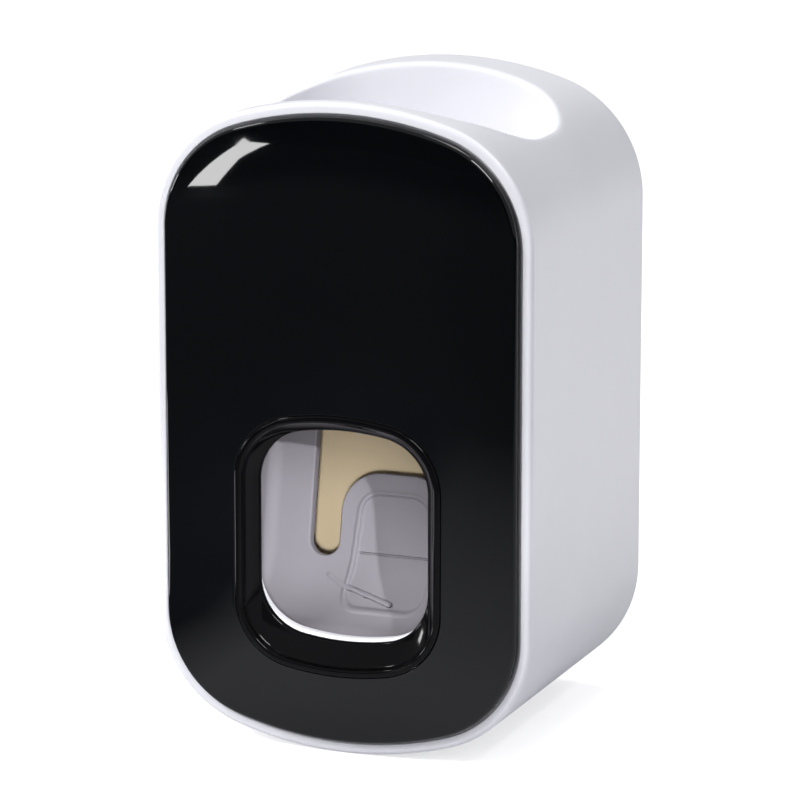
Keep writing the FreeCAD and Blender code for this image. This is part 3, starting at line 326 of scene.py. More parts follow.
def moulded_plastic(name, colour, shade, roughness, polish, grain_mm, grain_height_mm, sheen_spread=0.05,
                    cloud_mm=18.0, **shader):
    """A moulded plastic: a cloud of two close shades, roughness that wanders a little, and a fine grain."""
    material = new_material(name)
    place = add_node(material, "TexCoord").outputs["Object"]
    cloud = add_node(material, "TexNoise", {"Vector": place}, Scale=1 / (cloud_mm * MM), Detail=3.0)
    tone = tone_between(material, cloud.outputs["Fac"], shade, colour, (0.35, 0.65))
    grain = add_node(material, "TexNoise", {"Vector": place}, Scale=1 / (grain_mm * MM), Detail=2.0)
    gloss = add_node(material, "MapRange", {"Value": cloud.outputs["Fac"]}, To_Min=roughness - sheen_spread,
                     To_Max=roughness + sheen_spread)
    bump = add_node(material, "Bump", {"Height": grain.outputs["Fac"]}, Strength=polish,
                    Distance=grain_height_mm * MM)
    return finish_with(material, add_node(
        material, "BsdfPrincipled", {"Base Color": tone, "Roughness": gloss.outputs["Result"],
                                     "Normal": bump.outputs["Normal"]}, **shader))


# Satin white ABS, moulded: soft wide highlights, a slightly cool white
white_abs = moulded_plastic("white_abs_moulded", "EAEAF0", "E7E7ED", 0.38, 0.12, 0.55, 0.02, IOR=1.52)
# Black acrylic, injection moulded and unpainted: mirror gloss, nearly no colour of its own
black_acrylic = moulded_plastic("black_acrylic_gloss", "07080A", "050608", 0.025, 0.01, 4.0, 0.005,
                                sheen_spread=0.01, IOR=1.49)
# Black ABS for the collar, moulded in a plain tool: darker and a little softer than the panel's mirror
black_abs = moulded_plastic("black_abs_satin", "070708", "050506", 0.09, 0.02, 2.0, 0.005,
                            sheen_spread=0.02, IOR=1.52, Specular_IOR_Level=0.16)
# Grey acetal, moulded: a faint waxy sheen
grey_acetal = moulded_plastic("grey_acetal_moulded", "8E8B92", "89868D", 0.42, 0.15, 0.5, 0.02, IOR=1.48)
# Natural ABS, moulded and uncoloured: warm cream
cream_abs = moulded_plastic("natural_abs_cream", "F8E4C2", "F3DEB9", 0.5, 0.2, 0.45, 0.03, IOR=1.52)
# Natural acetal for small fittings: milky white
natural_acetal = moulded_plastic("natural_acetal", "E9E7E0", "E2DFD6", 0.4, 0.15, 0.4, 0.02, IOR=1.48)
# Wall plate: white ABS with a spark-eroded mould texture
textured_abs = moulded_plastic("white_abs_textured", "E2E2E8", "DBDBE2", 0.55, 0.5, 0.4, 0.05, IOR=1.52)
# Moulded silicone: milky, rubbery, dulls highlights
silicone = moulded_plastic("milky_silicone", "DAD9D2", "CFCEC6", 0.52, 0.2, 0.6, 0.02,
                           IOR=1.41, Subsurface_Weight=0.25, Subsurface_Scale=0.003)
# Acrylic foam tape: fine open cells show on the cut edge
foam = moulded_plastic("acrylic_foam", "C9CCD0", "B4B8BD", 0.85, 0.9, 0.7, 0.12, IOR=1.45)
# Zinc-plated steel: bright, slightly blue, tumbled
plated_steel = moulded_plastic("zinc_plated_steel", "BFC3C8", "ABB0B6", 0.3, 0.25, 0.3, 0.01, Metallic=1.0)

# The pieces inside the pump keep their solid shapes
NODE_FINISHES = {
    "pump_frame": cream_abs, "pump_frame_screws": plated_steel, "inlet_valve_seat": natural_acetal,
    "inlet_valve": silicone, "bladder_top_clamp": natural_acetal, "pump_bladder": silicone,
    "bladder_bottom_clamp": natural_acetal, "outlet_nozzle": natural_acetal, "outlet_valve": silicone,
    "lever_pin": plated_steel, "pin_clip": plated_steel, "stop_bumper": silicone,
}
for node, finish in NODE_FINISHES.items():
    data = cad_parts[node].data
    data.materials.clear()
    data.materials.append(finish)


# Case: a tube with rounded ends, and the bowl let into its top
BOWL_HALF = (24.4, 19.4)
BOWL_CORNER, BOWL_CROWN = 16.0, 52.0
BOWL_Y = -29.2
BOWL_FLOOR = 35.0
BOWL_WALL = 1.6
BOWL_FILLET = 5.0
RIM_ROUND = 1.25
SEAL_HOLE = 8.6
# The patch of the case's top that the bowl takes up: its half-width along the crown, and how far it keeps
# from the case's front and rear
PATCH_REACH = 31.5
PATCH_FRONT, PATCH_REAR = 0.35, 5.0
PATCH_ROWS = 34
# Steps in each quarter of the bowl's outline, fine enough to look up a ray's meeting with it
BOWL_COUNTS = (300, 400, 200)


def bowl_loop(angles, grow=0.0):
    """Plan points and outward normals of the bowl where rays at the angles from its middle meet it."""
    outline = Outline(*BOWL_HALF, BOWL_CORNER, BOWL_CROWN).grown(grow)
    points, normals = outline.ring(BOWL_COUNTS)
    bearing = np.arctan2(points[:, 0], -points[:, 1])
    found, facing = (np.stack([np.interp(angles, bearing, part[:, i], period=2 * math.pi) for i in (0, 1)], 1)
                     for part in (points, normals))
    return found + [0.0, BOWL_Y], facing / np.linalg.norm(facing, axis=1)[:, None]


def on_top(outline, reach, y):
    """Points of the outline's top at signed distances along it from the middle, at depth y."""
    place, _ = outline.quarter(np.abs(reach))
    return np.stack([np.sign(reach) * place[:, 0], y, place[:, 1]], 1)


def sink_bowl(outline, border, grow, floor, fillet, rim):
    """Rings of the bowl's surface from a border on the case's top down to the hole in its floor.

    Rings on the case's top pass from the border to the bowl's edge, evenly in distance along the top and
    depth. The edge is a conic curve that leaves the top and ends on the upright wall. The wall falls to a
    quarter round at the floor, and the floor's rings shrink to the circle of the hole.
    """
    bearing = np.unwrap(np.arctan2(border[:, 0], -(border[:, 1] - BOWL_Y)))
    plan, normal = bowl_loop(bearing, grow)
    outer = plan + normal * rim
    first, last = [(outline.reach(line[:, 0]), line[:, 1]) for line in (border, outer)]
    rows = [on_top(outline, *way)
            for way in spread(np.stack(first), np.stack(last), np.linspace(0, 1, 7)[1:])]
    start = rows[-1]
    sharp = on_top(outline, outline.reach(plan[:, 0]), plan[:, 1])
    end = sharp - [0, 0, rim]
    for share in np.linspace(0, 1, 9)[1:]:
        rows.append((1 - share) ** 2 * start + 2 * share * (1 - share) * sharp + share**2 * end)
    foot = end.copy()
    foot[:, 2] = floor + fillet
    rows += spread(end, foot, (0.02, 0.25, 0.5, 0.75, 0.98))
    for angle in np.linspace(0, math.pi / 2, 9):
        level = np.full(len(plan), floor + fillet * (1 - math.sin(angle)))
        rows.append(np.column_stack([plan - normal * fillet * (1 - math.cos(angle)), level]))
    circle = np.stack([SEAL_HOLE * np.sin(bearing), PUMP_Y - SEAL_HOLE * np.cos(bearing),
                       np.full(len(bearing), floor)], 1)
    return rows + spread(rows[-1], circle, (0.03, 0.25, 0.5, 0.75, 0.97, 1.0))


def make_case():
    """The case as one closed tube: rings of its outline run back along the outer skin, round the rear edge,
    forward along the inner skin and round the front edge. The top of either skin gives up a patch of faces,
    where the bowl's rings go down to the floor, and the two holes in the floor are joined."""
    shell = Shell()
    outer = soft_profile([(WALL, CASE_FRONT, 0.1), (0, CASE_FRONT, CASE_FRONT_ROUND),
                          (0, CASE_REAR, CASE_REAR_ROUND), (WALL, CASE_REAR, 0.3)], steps=8, closed=True)
    along = np.linspace(CASE_FRONT + PATCH_FRONT, CASE_REAR - PATCH_REAR, PATCH_ROWS)
    split = np.argmax((outer[:, 0] < 1e-9) & (outer[:, 1] > 0.5 * (CASE_FRONT + CASE_REAR)))
    flat = np.zeros(PATCH_ROWS)
    profile = np.concatenate([outer[:split], np.stack([flat, along], 1), outer[split:],
                              np.stack([flat + WALL, along[::-1]], 1)])
    rings = np.stack(swept(CASE, profile))
    numbers = shell.add(rings)
    reach = CASE.reach(np.clip(rings[split, :, 0], -HALF_WIDTH, HALF_WIDTH))
    inside = np.nonzero((rings[split, :, 2] > 0) & (np.abs(reach) < PATCH_REACH))[0]
    inside = inside[np.argsort(reach[inside])]
    left, right = inside[0], inside[-1]
    kept = np.ones(numbers.shape, bool)
    holes = []
    for first, outline, grow, rim, floor, fillet in (
            (split, CASE, 0.0, RIM_ROUND, BOWL_FLOOR, BOWL_FILLET),
            (len(profile) - PATCH_ROWS, CASE.grown(-WALL), BOWL_WALL, 0.02, BOWL_FLOOR - WALL,
             BOWL_FILLET + BOWL_WALL - 0.5)):
        last = first + PATCH_ROWS - 1
        kept[first:last, inside[:-1]] = False
        border = np.concatenate([numbers[first, inside], numbers[first + 1:last, right],
                                 numbers[last, inside[::-1]], numbers[last - 1:first:-1, left]])
        rows = sink_bowl(outline, np.concatenate(shell.points)[border], grow, floor, fillet, rim)
        made = shell.add(np.stack(rows))
        shell.face(quads(np.concatenate([border[None], made])))
        bearing = np.arctan2(rows[-1][:, 0], -(rows[-1][:, 1] - PUMP_Y))
        holes.append(made[-1][np.argsort(bearing)])
    shell.face(quads(np.stack(holes)))
    shell.face(quads(numbers, closed_rows=True)[kept])
    return shell.mesh("case_shell")


add_piece("case_shell", make_case(), "dispenser", "white_housing", white_abs, "housing")


# Front frame: a rim round the panel, a plate behind it, and the liner in the window
PLATE_STEP = 0.4
LINER_FRONT, LINER_DEPTH = 1.7, 1.9
LINER_SEAT, LINER_REAR = 1.4, 2.2
# The skirt inside the case: its inner and outer inset, its reach, and the height below which it stands
SKIRT_INSET, SKIRT_REACH, SKIRT_TOP = (3.3, 1.9), 3.0, 33.0


def make_front_frame():
    """The frame as one closed skin of rings: the rim's soft profile round the case's outline, the plate
    behind the panel, the liner's profile round the window, and back over the skirt."""
    plate = FRONT + PLATE_STEP
    rim = soft_profile([(0.4, CASE_FRONT, 0), (0, CASE_FRONT, CASE_FRONT_ROUND), (0, FRONT, RIM_EDGE),
                        (RIM_WIDTH, FRONT, 0.2), (RIM_WIDTH, plate, 0)], steps=8)
    rings = swept(CASE, rim)
    rings += rings_between(rings[-1], ring_at(LINER, -LINER_SEAT, plate), 3)
    front = FRONT + LINER_FRONT
    back = front + LINER_DEPTH
    liner = soft_profile([(-LINER_SEAT, plate, 0), (-LINER_SEAT, front, 0), (0, front, 0.35), (0, back, 0.5),
                          (-LINER_REAR, back, 0.3), (-LINER_REAR, CASE_FRONT, 0)], steps=5)
    rings += swept(LINER, liner)
    inner, outer = SKIRT_INSET
    root = ring_at(CASE, inner, CASE_FRONT)
    rings += rings_between(rings[-1], root, 3)
    reach = np.where(root[:, 2] < SKIRT_TOP, CASE_FRONT + SKIRT_REACH, CASE_FRONT)
    rings += [root, ring_at(CASE, inner, reach), ring_at(CASE, outer, reach),
              ring_at(CASE, outer, CASE_FRONT)]
    return skin_mesh("front_rim_frame", rings)


add_piece("front_rim_frame", make_front_frame(), "dispenser", "white_housing", white_abs, "front_frame")


# Gloss panel: pillowed front, soft edge, an opening for the window collar
PILLOW, PILLOW_REACH = 0.75, 14.0
PANEL_EDGE = 0.75
# How far in the place lies that the round edge turns towards, and how far in the front's own rings begin
EDGE_RUN, FRONT_START = 4.0, 1.6
COLLAR_GAP = 0.05


def pillow(points):
    """How far the panel's front falls back near its outer edge: a square law over the last stretch."""
    outline, _ = CASE.grown(-PANEL_INSET).ring((60, 80, 60))
    gap = np.sqrt(((points[:, None, [0, 2]] - outline[None]) ** 2).sum(-1)).min(1)
    return PILLOW * np.maximum(1 - gap / PILLOW_REACH, 0) ** 2


def make_front_panel():
    """The panel as one closed skin of rings: its round edge, the pillowed front, the opening for the collar
    and the flat back."""
    edge = soft_profile([(PANEL_INSET, PANEL_BACK, 0), (PANEL_INSET, PANEL_FACE + PILLOW, PANEL_EDGE),
                         (PANEL_INSET + EDGE_RUN, PANEL_FACE + PILLOW * (1 - EDGE_RUN / PILLOW_REACH) ** 2,
                          0)], steps=10, hold=0.1)[:-1]
    rings = swept(CASE, edge)
    opening = ring_at(LIP, -COLLAR_GAP, PANEL_FACE)
    for ring in rings_between(ring_at(CASE, PANEL_INSET + FRONT_START, PANEL_FACE), opening, 40):
        ring[:, 1] = PANEL_FACE + pillow(ring)
        rings.append(ring)
    hole = soft_profile([(-COLLAR_GAP - 1.0, PANEL_FACE, 0), (-COLLAR_GAP, PANEL_FACE, 0.12),
                         (-COLLAR_GAP, PANEL_BACK, 0)], steps=4, hold=0.03)[1:]
    rings += swept(LIP, hole)
    rings += rings_between(rings[-1], rings[0], 3)
    return skin_mesh("gloss_panel", rings)


add_piece("gloss_panel", make_front_panel(), "dispenser", "black_panel", black_acrylic, "front_panel")


# Window collar: a bead that stands proud of the panel and a funnel down to the throat
BEAD_TOP, FUNNEL_START, FUNNEL_DROP = 1.05, 1.35, 1.0
FUNNEL_SWELL = 0.15
SLEEVE_LENGTH, SLEEVE_WALL = 1.1, 1.3


def make_window_collar():
    """The collar as one closed skin of rings: the bead's profile round the lip, the funnel, which runs
    straight to the throat but for half a wave of swell, and the sleeve's profile round the throat."""
    crest, back = collar_low[1], collar_high[1]
    bead = soft_profile([(0, PANEL_BACK, 0), (0, crest, 0.38), (BEAD_TOP, crest, 0.45),
                         (FUNNEL_START, crest + FUNNEL_DROP, 0)], steps=8, hold=0.02)
    rings = swept(LIP, bead)
    throat = ring_at(THROAT, 0.0, back - SLEEVE_LENGTH)
    start = ring_at(LIP, FUNNEL_START, crest + FUNNEL_DROP)
    for share in np.linspace(0, 1, 12)[1:]:
        ring = start + (throat - start) * share
        ring[:, 1] += FUNNEL_SWELL * math.sin(math.pi * share)
        rings.append(ring)
    sleeve = soft_profile([(0, back - SLEEVE_LENGTH, 0), (0, back, 0.2), (-SLEEVE_WALL, back, 0.2),
                           (-SLEEVE_WALL, PANEL_BACK, 0)], steps=4)[1:]
    rings += swept(THROAT, sleeve)
    rings += rings_between(rings[-1], rings[0], 2)
    return skin_mesh("window_funnel", rings)


add_piece("window_funnel", make_window_collar(), "dispenser", "black_panel", black_abs, "window_collar")


# Forms given by a field of distances, below zero inside
def both(first, second, radius=0.0):
    """Where two forms overlap: the larger distance, the common edge rounded by a quarter circle."""
    if radius == 0:
        return np.maximum(first, second)
    return (np.minimum(np.maximum(first, second), -radius)
            + np.hypot(np.maximum(first + radius, 0), np.maximum(second + radius, 0)))


def either(first, second, radius=0.0):
    """Two forms joined: the smaller distance, with a quarter-round fillet in the corner between them."""
    return -both(-first, -second, radius)


def without(first, second, radius=0.0):
    """The first form with the second cut away, the edge of the cut rounded."""
    return both(first, -second, radius)


def between(value, low, high):
    """A slab between two levels."""
    return np.maximum(low - value, value - high)


def above(u, v, start, end):
    """Signed distance of a place to the left of the line from start to end."""
    du, dv = end[0] - start[0], end[1] - start[1]
    return ((v - start[1]) * du - (u - start[0]) * dv) / math.hypot(du, dv)


def near_line(u, v, start, end):
    """Distance to a straight piece of line: the foot of the plumb line is kept between its ends."""
    du, dv = end[0] - start[0], end[1] - start[1]
    share = np.clip(((u - start[0]) * du + (v - start[1]) * dv) / (du**2 + dv**2), 0, 1)
    return np.hypot(u - start[0] - share * du, v - start[1] - share * dv)


def stations(*runs):
    """Grid stations along one direction from runs of (start, end, step)."""
    parts = [np.linspace(start, end, max(round((end - start) / step), 1), endpoint=False)
             for start, end, step in runs]
    return np.concatenate(parts + [[runs[-1][1]]])


def slope_of(field, points, step=0.02):
    """The direction in which the distance grows, from its difference across a short step each way."""
    slope = np.empty_like(points)
    for axis in range(3):
        shift = np.zeros(3)
        shift[axis] = step
        slope[:, axis] = field(*(points + shift).T) - field(*(points - shift).T)
    return slope / np.maximum(np.linalg.norm(slope, axis=1), 1e-9)[:, None]


# How often a skin's points slide towards it, and how far at most each time
SLIDES, SLIDE_LIMIT = 4, 0.2


def surface_net(field, grid):
    """Points, normals and four-sided faces of the skin on which a field of distances is zero.

    Each grid edge that the skin crosses gives a crossing, where the field falls to zero between its two
    values. Each cell takes the mean of its crossings as its point, each crossed edge joins the points of
    the four cells round it, and the points then slide down the slope by their distance from the skin.
    """
    values = field(*np.meshgrid(*grid, indexing="ij", sparse=True))
    inside = values < 0
    cells = tuple(size - 1 for size in values.shape)
    crossings, corners = [], []
    for axis in range(3):
        lower = inside[tuple(slice(0, -1) if i == axis else slice(None) for i in range(3))]
        upper = inside[tuple(slice(1, None) if i == axis else slice(None) for i in range(3))]
        start = np.stack(np.nonzero(lower != upper), 1)
        step = np.eye(3, dtype=int)[axis]
        before, after = values[tuple(start.T)], values[tuple((start + step).T)]
        place = np.stack([grid[i][start[:, i]] for i in range(3)], 1)
        run = grid[axis][start[:, axis] + 1] - place[:, axis]
        place[:, axis] += run * before / (before - after)
        second, third = np.roll(step, 1), np.roll(step, 2)
        offsets = np.stack([second + third, third, 0 * step, second])
        around = np.ravel_multi_index(np.moveaxis(start[:, None] - offsets, 2, 0), cells)
        around[before > 0] = around[before > 0][:, ::-1]
        crossings.append(np.repeat(place[:, None], 4, 1))
        corners.append(around)
    crossings, corners = np.concatenate(crossings), np.concatenate(corners)
    _, faces = np.unique(corners, return_inverse=True)
    faces = faces.reshape(corners.shape)
    points = np.stack([np.bincount(faces.ravel(), crossings[..., i].ravel()) for i in range(3)], 1)
    points /= np.bincount(faces.ravel())[:, None]
    for _ in range(SLIDES):
        points -= np.clip(field(*points.T), -SLIDE_LIMIT, SLIDE_LIMIT)[:, None] * slope_of(field, points)
    return points, slope_of(field, points), faces


def smooth_mesh(name, points, normals, faces):
    """A smooth mesh, in metres, shaded by the normals given."""
    data = bpy.data.meshes.new(name)
    data.from_pydata(points * MM, [], faces.tolist())
    data.update()
    data.shade_smooth()
    data.normals_split_custom_set_from_vertices(normals.tolist())
    return data


# Push lever, in its own frame: upright, with its hinge at the origin, and then leaned back
LEAN = math.radians(10.6)
HINGE = (0.0, -22.0, 4.0)
LEVER_HALF, LEVER_INNER = 23.0, 21.5
PLATE_FRONT, PLATE_BACK = -3.64, -1.64
LEVER_TOP, SIDE_TOP = 1.0, -3.0
FLOOR_REAR, FLOOR_FRONT = (PLATE_FRONT, -37.95), (-17.23, -42.19)
UNDER_REAR, UNDER_FRONT = (PLATE_BACK, -39.75), (-17.23, -43.99)
SIDE_HIGH, SIDE_LOW = (-9.64, SIDE_TOP), (-17.23, -38.59)
SCOOP, UPRIGHT_CORNER = 8.0, 2.0
OPENING_REACH = 2.5
SLOT_OUTER, SLOT_TOP, SLOT_FOOT, SLOT_END = 14.2, -4.0, -30.65, 2.35
TONGUE_HALF, TONGUE_TIP, TONGUE_CORNER = 9.2, -16.9, 6.5
REST_TOP, REST_FOOT, REST_HALF, REST_FLARE, REST_CORNER = -20.1, -38.3, 5.6, 0.08, 3.0
REST_DEPTH, REST_SLANT = 0.5, 0.8
REST_SEAM, SEAM_HALF, SEAM_DEPTH, SEAM_INSET = -29.8, 0.15, 0.3, 0.6
# The low beads: round the rest, and along the guide that slants across the scoop
BEAD_RADIUS, BEAD_SUNK, BEAD_OUT = 0.37, 0.15, 0.15
GUIDE = ((-10.1, -33.6), (-7.4, -35.0), (1.2, -37.2))
ARM_HALF, ARM_FOOT, ARM_FRONT, ARM_BACK, ARM_TOP = 6.0, -2.64, -1.2, 1.3, 15.0
PRESSER_FACE, PRESSER_SPAN, PRESSER_NOSE = -6.42, (9.2, 13.8), 1.15
HUB_SPAN, HUB_RADIUS, BORE_RADIUS = (20.0, 24.2), 3.2, 1.55
EDGE_ROUND = 0.35


def lever_shell(y, z, wide):
    """The lever's block and the hollow in it: a plate, a sloping floor with its scoop and two side walls."""
    block = both(y - PLATE_BACK, z - LEVER_TOP, 0.5)
    block = both(block, -above(y, z, UNDER_FRONT, UNDER_REAR), 1.0)
    block = both(block, both(above(y, z, SIDE_LOW, SIDE_HIGH), FLOOR_FRONT[0] - y, 0.8), 0.5)
    block = both(block, wide - LEVER_HALF, 0.5)
    block = without(block, both(y - PLATE_FRONT, SIDE_TOP - z, 0.3), EDGE_ROUND)
    hollow = both(y - PLATE_FRONT, -above(y, z, FLOOR_FRONT, FLOOR_REAR), SCOOP)
    return block, both(hollow, wide - LEVER_INNER, UPRIGHT_CORNER)


def lever_opening(wide, z):
    """The opening round the tongue, seen from the front: a window with round corners less the tongue."""
    window = both(both(wide - SLOT_OUTER, z - SLOT_TOP, SLOT_END), SLOT_FOOT - z, SLOT_END)
    tongue = both(wide - TONGUE_HALF, z - TONGUE_TIP, TONGUE_CORNER)
    return without(window, tongue, SLOT_END)


def brush_rest(x, z):
    """Outline of the rest on the tongue: sides that flare towards the foot, and round corners."""
    side = np.abs(x) - REST_HALF - REST_FLARE * (REST_TOP - z)
    return both(both(side, z - REST_TOP, REST_CORNER), REST_FOOT - z, REST_CORNER)


def lever_arm(y, z, wide):
    """The arm that rises behind the hinge, with the presser at its head."""
    foot = both(ARM_FOOT - y, above(y, z, (ARM_FOOT, LEVER_TOP), (ARM_FRONT, LEVER_TOP + 2.0)))
    arm = both(either(ARM_FRONT - y, foot, 0.4), y - ARM_BACK, 0.3)
    arm = both(arm, between(z, SIDE_TOP, ARM_TOP), 0.4)
    presser = both(both(PRESSER_FACE - y, between(z, *PRESSER_SPAN), PRESSER_NOSE), y)
    return both(either(arm, presser, 0.5), wide - ARM_HALF, 0.4)


def lever_field(x, y, z):
    """The hollow block less the opening, the sunk rest and its seam, with the beads, the arm and the hubs
    joined on and the bore cut through."""
    wide = np.abs(x)
    block, hollow = lever_shell(y, z, wide)
    lever = without(block, hollow, EDGE_ROUND)
    lever = without(lever, both(lever_opening(wide, z), PLATE_FRONT - OPENING_REACH - y), EDGE_ROUND)
    depth = np.maximum(hollow, 0)
    rest = brush_rest(x, z)
    lever = without(lever, both(rest + REST_SLANT * depth, hollow - REST_DEPTH, 0.2), 0.15)
    seam = both(both(np.abs(z - REST_SEAM) - SEAM_HALF, rest + SEAM_INSET), hollow - REST_DEPTH - SEAM_DEPTH)
    lever = without(lever, seam, 0.1)
    guide = np.minimum(near_line(x, z, *GUIDE[:2]), near_line(x, z, *GUIDE[1:]))
    bead = np.hypot(np.minimum(guide, np.abs(rest - BEAD_OUT)), hollow - BEAD_SUNK) - BEAD_RADIUS
    lever = either(lever, bead, 0.2)
    lever = either(lever, lever_arm(y, z, wide), 0.5)
    lever = either(lever, both(np.hypot(y, z) - HUB_RADIUS, between(wide, *HUB_SPAN), 0.3), 0.4)
    return without(lever, np.hypot(y, z) - BORE_RADIUS, 0.15)


def make_push_lever():
    """The field's skin on a grid that is fine where the window shows it, leaned back about the hinge."""
    grid = (stations((-24.6, -15.6, 0.5), (-15.6, 15.6, 0.26), (15.6, 24.6, 0.5)),
            stations((-18.1, 3.9, 0.3)), stations((-44.8, -12.0, 0.27), (-12.0, 15.8, 0.5)))
    cosine, sine = math.cos(LEAN), math.sin(LEAN)
    turn = np.array([[1, 0, 0], [0, cosine, sine], [0, -sine, cosine]])
    points, normals, faces = surface_net(lever_field, grid)
    return smooth_mesh("lever_scoop", points @ turn.T + HINGE, normals @ turn.T, faces)


add_piece("lever_scoop", make_push_lever(), "lever", "grey_lever", grey_acetal, "push_lever")


# Back cover, its screws, the wall plate with its hooks, and the foam pad
COVER_GAP = 0.1
COVER_ROUND = 0.3
HOOK_COLUMN, HOOK_ROW, HOOK_HALF = 12.0, 30.0, 3.0
SLOT_TOP_SEAT, SLOT_PLAY, SLOT_FALL = 0.15, 0.3, 8.8
SCREW_PLACE = (26.3, 30.16)
SCREW_RADIUS, SCREW_PLAY = 1.15, 0.05
SCREW_HEAD_RADIUS, SCREW_HEAD, SCREW_LENGTH = 2.2, 1.3, 6.4
RECESS_HALF, RECESS_WIDTH, RECESS_DEPTH = 1.3, 0.7, 0.6
PLATE_MIDDLE = -3.0
PLATE_HALF, PLATE_CORNER, PLATE_THICKNESS = (17.0, 36.0), 5.0, 2.5
PAD_INSET = 1.0
HOOK_STEM, HOOK_FINGER, HOOK_THICKNESS, HOOK_GAP, HOOK_ROOT = 3.0, 5.0, 1.6, 0.3, 1.0


def cover_field(x, y, z):
    """The case's outline as a thin slab, less a slot for each hook and a hole for each screw."""
    wide = np.abs(x)
    cover = both(CASE.grown(-WALL - COVER_GAP).distance(x, z), between(y, cover_low[1], cover_high[1]),
                 COVER_ROUND)
    for row in (HOOK_ROW, -HOOK_ROW):
        top = row + PLATE_MIDDLE + SLOT_TOP_SEAT
        slot = both(np.abs(wide - HOOK_COLUMN) - HOOK_HALF - SLOT_PLAY, between(z, top - SLOT_FALL, top), 0.5)
        cover = without(cover, slot, COVER_ROUND)
    hole = np.hypot(wide - SCREW_PLACE[0], np.abs(z) - SCREW_PLACE[1]) - SCREW_RADIUS - SCREW_PLAY
    return without(cover, hole, 0.15)


def plate_face(x, z, inset):
    """An upright rectangle with round corners, round the plate's middle."""
    return both(np.abs(x) - PLATE_HALF[0] + inset, np.abs(z - PLATE_MIDDLE) - PLATE_HALF[1] + inset,
                PLATE_CORNER - inset)


def wall_plate_field(x, y, z):
    """A rounded slab with four hooks: a stem through the cover and a finger that rises behind it."""
    face = pad_low[1]
    plate = both(plate_face(x, z, 0.0), between(y, face - PLATE_THICKNESS, face), 0.35)
    finger = cover_low[1] - HOOK_GAP
    for row in (HOOK_ROW, -HOOK_ROW):
        foot = z - PLATE_MIDDLE - row
        stem = both(between(foot, -HOOK_STEM, 0), between(y, finger - HOOK_THICKNESS, face - HOOK_ROOT), 0.3)
        tongue = both(between(foot, -HOOK_STEM, HOOK_FINGER),
                      between(y, finger - HOOK_THICKNESS, finger), 0.3)
        hook = both(either(stem, tongue, 0.3), np.abs(np.abs(x) - HOOK_COLUMN) - HOOK_HALF, 0.3)
        plate = either(plate, hook, 0.4)
    return plate


def foam_field(x, y, z):
    """The die-cut pad: a thin slab a little smaller than the plate, its cut edges barely softened."""
    return both(plate_face(x, z, PAD_INSET), between(y, pad_low[1], pad_high[1]), 0.15)


def screw_field(x, y, z):
    """A screw along Y with its head's top at y = 0: a turned head and shank with a cross-shaped recess."""
    radius, x, z = np.hypot(x, z), np.abs(x), np.abs(z)
    screw = both(both(radius - SCREW_HEAD_RADIUS, y, RECESS_DEPTH), -SCREW_HEAD - y, 0.15)
    shank = both(radius - SCREW_RADIUS, -SCREW_HEAD - SCREW_LENGTH - y, 0.5)
    screw = either(screw, both(shank, y + 0.5), 0.15)
    half, wide = RECESS_HALF, RECESS_WIDTH / 2
    cross = np.minimum(both(x - wide, z - half, 0.1), both(z - wide, x - half, 0.1))
    return without(screw, both(cross, -RECESS_DEPTH - y, 0.1), 0.1)


def make_cover_screws():
    """One screw's skin, repeated at the four corners of the cover."""
    side, length = SCREW_HEAD_RADIUS + 0.4, SCREW_HEAD + SCREW_LENGTH + 0.4
    grid = (stations((-side, side, 0.14)), stations((-length, -1.6, 0.25), (-1.6, 0.3, 0.14)),
            stations((-side, side, 0.14)))
    points, normals, faces = surface_net(screw_field, grid)
    places = [(x, cover_high[1] + SCREW_HEAD, z) for x in (-SCREW_PLACE[0], SCREW_PLACE[0])
              for z in (-SCREW_PLACE[1], SCREW_PLACE[1])]
    every = np.concatenate([points + place for place in places])
    faces = np.concatenate([faces + i * len(points) for i in range(4)])
    return smooth_mesh("cover_screws", every, np.tile(normals, (4, 1)), faces)


def add_slab(name, field, low, high, step, deep, *rest):
    """Adds a slab that lies upright: its field's skin on a grid that goes a little past its corners."""
    grid = (stations((low[0] - 0.6, high[0] + 0.6, step)), stations((low[1] - 0.4, high[1] + 0.4, deep)),
            stations((low[2] - 0.6, high[2] + 0.6, step)))
    add_piece(name, smooth_mesh(name, *surface_net(field, grid)), *rest)


add_slab("rear_cover", cover_field, cover_low, cover_high, 0.42, 0.2,
         "dispenser", "natural_frame", cream_abs, "back_cover")
add_piece("cover_screws", make_cover_screws(), "dispenser", "steel", plated_steel, "back_cover_screws")
add_slab("hook_plate", wall_plate_field, plate_low, plate_high, 0.36, 0.25,
         "wall_mount", "white_cover", textured_abs, "wall_plate")
add_slab("foam_pad", foam_field, pad_low, pad_high, 0.4, 0.14,
         "wall_mount", "adhesive_foam", foam, "adhesive_pad")


# Tube seal: a turned ring with a soft lip that stands in the bowl
SEAL_PROFILE = ((5.4, 31.2, 0.15), (8.6, 31.2, 0.1), (8.6, 29.7, 0.15), (11.0, 29.7, 0.3), (11.0, 33.15, 0.3),
                (8.5, 33.15, 0.15), (8.5, 38.7, 0.5), (7.7, 39.5, 0.35), (6.8, 39.5, 0.35), (6.0, 38.7, 0.4),
                (6.0, 35.1, 0.1), (5.4, 35.1, 0.15))
SEAL_STEPS = 96


def make_tube_seal():
    """Half the seal's section as radius and height, turned about the pump's axis."""
    profile = soft_profile(SEAL_PROFILE, steps=5, hold=0.01, closed=True)
    angle = np.linspace(0, 2 * math.pi, SEAL_STEPS, endpoint=False)
    radius, height = profile[:, :1], profile[:, 1:]
    rings = np.stack([radius * np.sin(angle), PUMP_Y + radius * np.cos(angle),
                      np.broadcast_to(height, (len(profile), SEAL_STEPS))], -1)
    return skin_mesh("neck_seal", rings)


add_piece("neck_seal", make_tube_seal(), "dispenser", "clear_silicone", silicone, "tube_seal")


